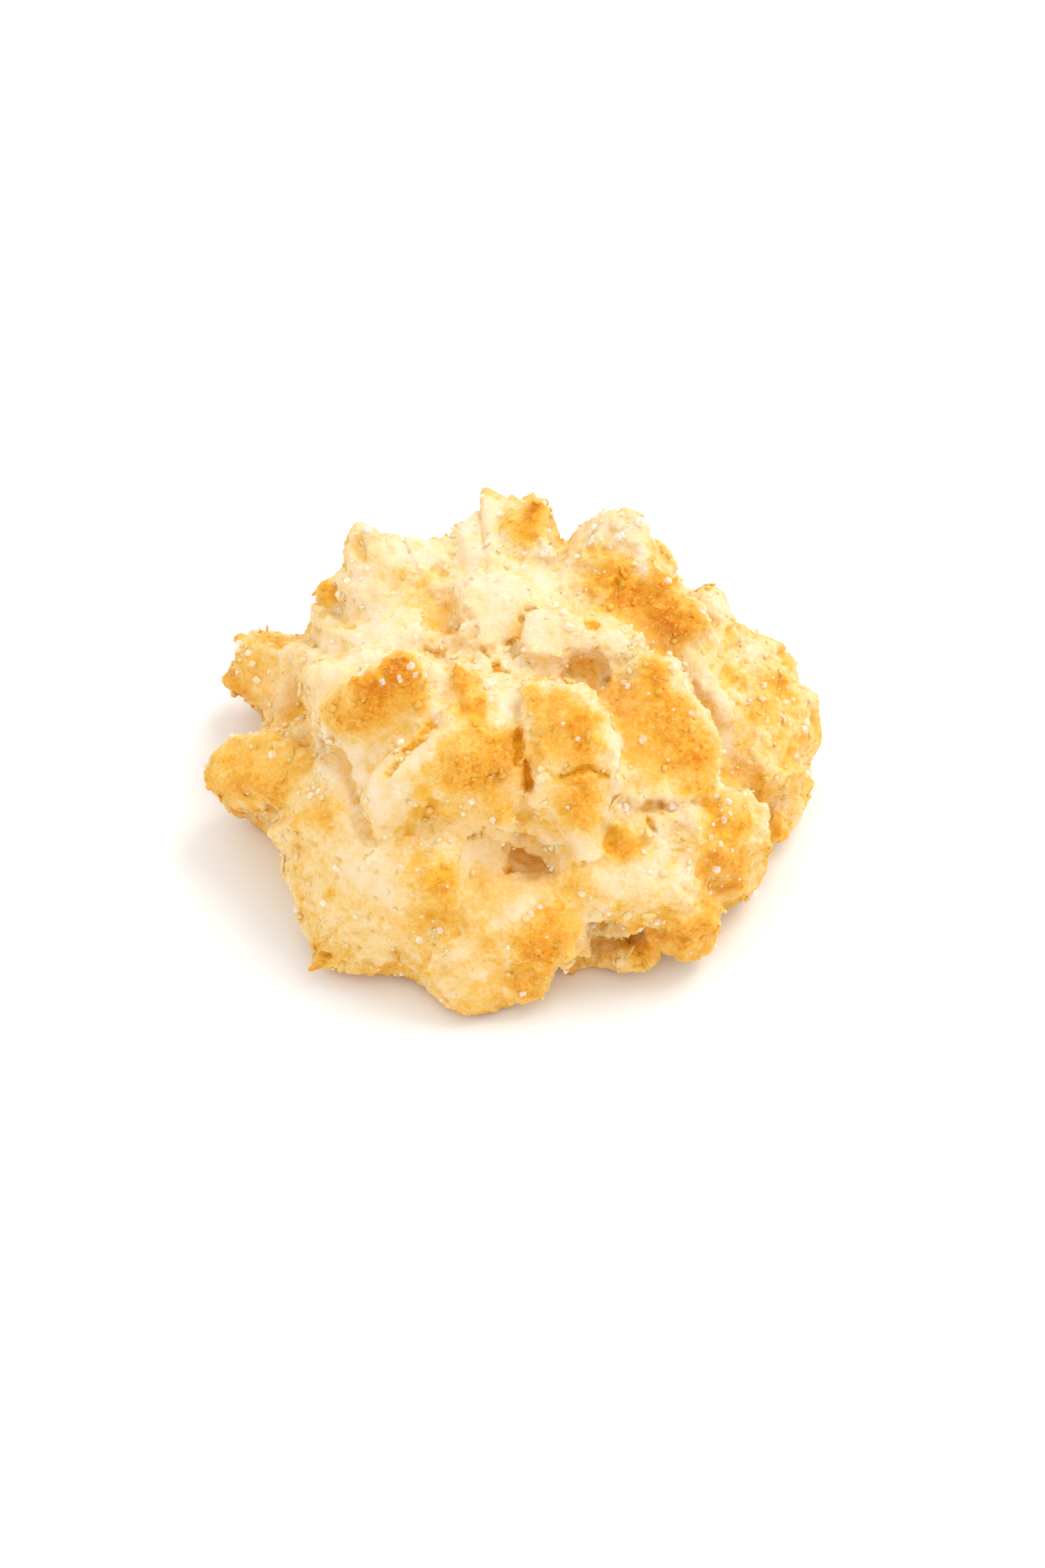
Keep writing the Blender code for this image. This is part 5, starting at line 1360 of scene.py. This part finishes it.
class MACAROON_OT_crumbs(bpy.types.Operator):
    """Scatter loose crumbs on the dough"""

    bl_idname = "macaroon.crumbs"
    bl_label = "Crumbs"

    def execute(self, context):
        settings = context.scene.macaroon_toppings
        skin = Skin(body_piece())
        toast = read(skin.obj.data.attributes["toast"].data, "value", 1)
        draw = np.random.default_rng(5)
        clumps = rough(skin.points, wave=4.0, octaves=2, seed=101)
        weight = 0.15 + ease(0.05, 0.6, clumps) + ease(0.3, 1.0, -skin.standing(BROAD_ROUNDS))
        weight *= skin.free * (skin.points[:, 2] > 1.5) * open_skin(skin)
        base_points, base_faces = self.ball()
        shapes = []
        for i in add_stray(skin, settings.crumbs, weight, draw):
            size = drawn_size(settings.crumb_small, settings.crumb_large, 2.2, draw)
            lumpy = 1.0 + 0.35 * ripple(base_points * 1.7 + draw.random(3) * 50.0, 7)
            ball = base_points * lumpy[:, None] * (0.6 + 0.5 * draw.random(3)) * size * 0.5
            ball = ball @ turned(draw) + skin.points[i] + skin.normals[i] * size * 0.12
            ball[:, 2] = np.maximum(ball[:, 2], 0.05)
            shapes.append((ball, base_faces, {"toast": toast[i] * 0.8, "hollow": 0.0, "painted_shade": 0.0}))
        add_topping("crumbs", shapes, dough_material("crumb dough", context.scene.macaroon_look), True)
        return {"FINISHED"}

    def ball(self):
        """Points and faces of a unit ball."""
        bm = bmesh.new()
        bmesh.ops.create_icosphere(bm, subdivisions=2, radius=1.0)
        return parts_of(bm)


class MACAROON_OT_flakes(bpy.types.Operator):
    """Scatter thin curled flakes on the dough"""

    bl_idname = "macaroon.flakes"
    bl_label = "Flakes"

    def execute(self, context):
        settings = context.scene.macaroon_toppings
        skin = Skin(body_piece())
        toast = read(skin.obj.data.attributes["toast"].data, "value", 1)
        draw = np.random.default_rng(13)
        clumps = rough(skin.points, wave=5.0, octaves=2, seed=121)
        weight = 0.1 + ease(0.1, 0.7, clumps) + ease(0.1, 0.3, skin.standing(FINE_ROUNDS))
        weight *= skin.free * (skin.points[:, 2] > 1.0) * open_skin(skin)
        shapes = []
        for i in add_stray(skin, settings.flakes, weight, draw):
            length = 0.7 + 1.1 * draw.random() ** 1.5
            width = 0.35 + 0.35 * draw.random()
            way = draw.normal(size=3)
            lift = 0.15 + 0.35 * draw.random()
            shapes.append(self.flake(skin, i, way, lift, length, width, toast[i] * 0.8 + 0.1, draw))
        for x, s, turn, lift, length, width, brown in FLAKES:
            spot = skin.place(x, s)
            if spot is None:
                continue
            i = int(np.argmin(np.linalg.norm(skin.points - spot, axis=1)))
            way = math.cos(math.radians(turn)) * RIGHT + math.sin(math.radians(turn)) * RISE
            shapes.append(self.flake(skin, i, way, lift, length, width, brown, draw))
        add_topping("flakes", shapes, dough_material("flake dough", context.scene.macaroon_look), True)
        return {"FINISHED"}

    def flake(self, skin, i, way, lift, length, width, brown, draw):
        """One thin flake whose root is sunk in the dough and whose tip lifts off it."""
        normal = skin.normals[i]
        ahead = way - normal * (way @ normal)
        ahead /= np.linalg.norm(ahead)
        across = np.cross(normal, ahead)
        rings = 6
        sides = 8
        points = []
        bend = 0.5 + 0.5 * draw.random()
        for ring in range(rings):
            t = ring / (rings - 1)
            breadth = width * 0.5 * math.sin(math.pi * (0.18 + 0.70 * t)) * (0.85 + 0.3 * draw.random())
            middle = ahead * length * (t - 0.3) + normal * (lift * length * t ** 1.4 * bend - 0.05)
            for side in range(sides):
                turn = 2.0 * math.pi * side / sides
                thick = 0.11 * (0.8 + 0.4 * draw.random())
                points.append(middle + across * breadth * math.cos(turn) + normal * thick * math.sin(turn))
        faces = [(ring * sides + side, ring * sides + (side + 1) % sides,
                  (ring + 1) * sides + (side + 1) % sides, (ring + 1) * sides + side)
                 for ring in range(rings - 1) for side in range(sides)]
        faces.append(tuple(reversed(range(sides))))
        faces.append(tuple(range((rings - 1) * sides, rings * sides)))
        points = np.array(points) + skin.points[i]
        points[:, 2] = np.maximum(points[:, 2], 0.05)
        return points, faces, {"toast": brown, "hollow": 0.0, "painted_shade": 0.0}


class MACAROON_OT_sugar(bpy.types.Operator):
    """Scatter sugar crystals on the dough"""

    bl_idname = "macaroon.sugar"
    bl_label = "Sugar"

    def execute(self, context):
        settings = context.scene.macaroon_toppings
        skin = Skin(body_piece())
        draw = np.random.default_rng(9)
        clumps = rough(skin.points, wave=5.0, octaves=2, seed=111)
        weight = 0.5 + 1.2 * ease(0.0, 0.7, clumps)
        for path, radius, amount in SUGARED:
            weight += amount * skin.mark(path, radius, np.zeros(len(skin.points)))
        weight *= skin.free * (skin.points[:, 2] > 1.0) * open_skin(skin)
        base_points, base_faces = self.crystal()
        shapes = []
        for i in add_stray(skin, settings.sugar, weight, draw):
            size = drawn_size(settings.sugar_small, settings.sugar_large, 2.6, draw)
            sides = size * (0.6 + 0.45 * draw.random(3))
            grain = (base_points * sides * 0.5) @ turned(draw)
            grain = grain + skin.points[i] + skin.normals[i] * size * 0.22
            grain[:, 2] = np.maximum(grain[:, 2], 0.05)
            shapes.append((grain, base_faces, {}))
        add_topping("sugar", shapes, sugar_material(), False)
        return {"FINISHED"}

    def crystal(self):
        """Points and faces of a unit crystal: a block with its edges cut off."""
        bm = bmesh.new()
        bmesh.ops.create_cube(bm, size=2.0)
        bmesh.ops.bevel(bm, geom=bm.edges[:], offset=0.35, segments=1, affect="EDGES")
        return parts_of(bm)


class MACAROON_OT_stage(bpy.types.Operator):
    """Set up the floor, the light and the camera"""

    bl_idname = "macaroon.stage"
    bl_label = "Stage"

    def execute(self, context):
        settings = context.scene.macaroon_stage
        self.floor()
        self.light(settings)
        self.camera(settings)
        context.scene.view_settings.view_transform = "Standard"
        return {"FINISHED"}

    def floor(self):
        """A plain white floor."""
        half = 3.0
        corners = [(-half, -half, 0.0), (half, -half, 0.0), (half, half, 0.0), (-half, half, 0.0)]
        mesh = bpy.data.meshes.new("floor")
        mesh.from_pydata(corners, [], [(0, 1, 2, 3)])
        floor = bpy.data.objects.new("floor", mesh)
        bpy.context.scene.collection.objects.link(floor)
        graph = Graph("white floor")
        graph.shader.inputs["Base Color"].default_value = (0.93, 0.93, 0.93, 1.0)
        graph.shader.inputs["Roughness"].default_value = 0.6
        graph.shader.inputs["Specular IOR Level"].default_value = 0.1
        mesh.materials.append(graph.material)

    def light(self, settings):
        """An even white surround and one soft key light."""
        world = bpy.data.worlds.new("white surround")
        world.use_nodes = True
        background = world.node_tree.nodes["Background"]
        background.inputs["Color"].default_value = (1.0, 1.0, 1.0, 1.0)
        background.inputs["Strength"].default_value = settings.ambient
        bpy.context.scene.world = world
        lamp = bpy.data.lights.new("key light", "SUN")
        lamp.energy = settings.key
        lamp.angle = math.radians(35.0)
        lamp.color = (1.0, 0.985, 0.96)
        key = bpy.data.objects.new("key light", lamp)
        key.rotation_mode = "QUATERNION"
        key.rotation_quaternion = Vector((-0.55, -0.35, -1.0)).to_track_quat("-Z", "Y")
        bpy.context.scene.collection.objects.link(key)

    def camera(self, settings):
        """The camera at the eye of the leaning plan."""
        lens = bpy.data.cameras.new("camera")
        lens.lens = settings.lens
        lens.sensor_width = 36.0
        lens.clip_start = 0.01
        camera = bpy.data.objects.new("camera", lens)
        camera.location = Vector(EYE * MM)
        camera.rotation_mode = "QUATERNION"
        camera.rotation_quaternion = Vector(AHEAD).to_track_quat("-Z", "Y")
        bpy.context.scene.collection.objects.link(camera)
        bpy.context.scene.camera = camera


class MACAROON_PT_panel(bpy.types.Panel):
    """Lists the steps that build the macaroon"""

    bl_idname = "MACAROON_PT_panel"
    bl_label = "Macaroon"
    bl_space_type = "VIEW_3D"
    bl_region_type = "UI"
    bl_category = "Macaroon"

    def draw(self, context):
        for step in OPERATORS:
            self.layout.operator(step.bl_idname)
        for name, group in SETTINGS.items():
            box = self.layout.box()
            box.label(text=group.__doc__)
            for key in group.__annotations__:
                box.prop(getattr(context.scene, name), key)


SETTINGS = {
    "macaroon_skin": MacaroonSkinSettings,
    "macaroon_look": MacaroonLookSettings,
    "macaroon_toppings": MacaroonToppingSettings,
    "macaroon_stage": MacaroonStageSettings,
}
OPERATORS = (MACAROON_OT_dough, MACAROON_OT_crumbs, MACAROON_OT_flakes, MACAROON_OT_sugar,
             MACAROON_OT_stage)


def register():
    """Add the classes and the settings."""
    for name, group in SETTINGS.items():
        bpy.utils.register_class(group)
        setattr(bpy.types.Scene, name, PointerProperty(type=group))
    for item in OPERATORS + (MACAROON_PT_panel,):
        bpy.utils.register_class(item)


def unregister():
    """Remove the classes and the settings."""
    for item in (MACAROON_PT_panel,) + OPERATORS:
        bpy.utils.unregister_class(item)
    for name, group in SETTINGS.items():
        delattr(bpy.types.Scene, name)
        bpy.utils.unregister_class(group)


def main():
    """Build everything."""
    register()
    bpy.ops.macaroon.dough()
    bpy.ops.macaroon.crumbs()
    bpy.ops.macaroon.flakes()
    bpy.ops.macaroon.sugar()
    bpy.ops.macaroon.stage()


if __name__ == "__main__":
    main()
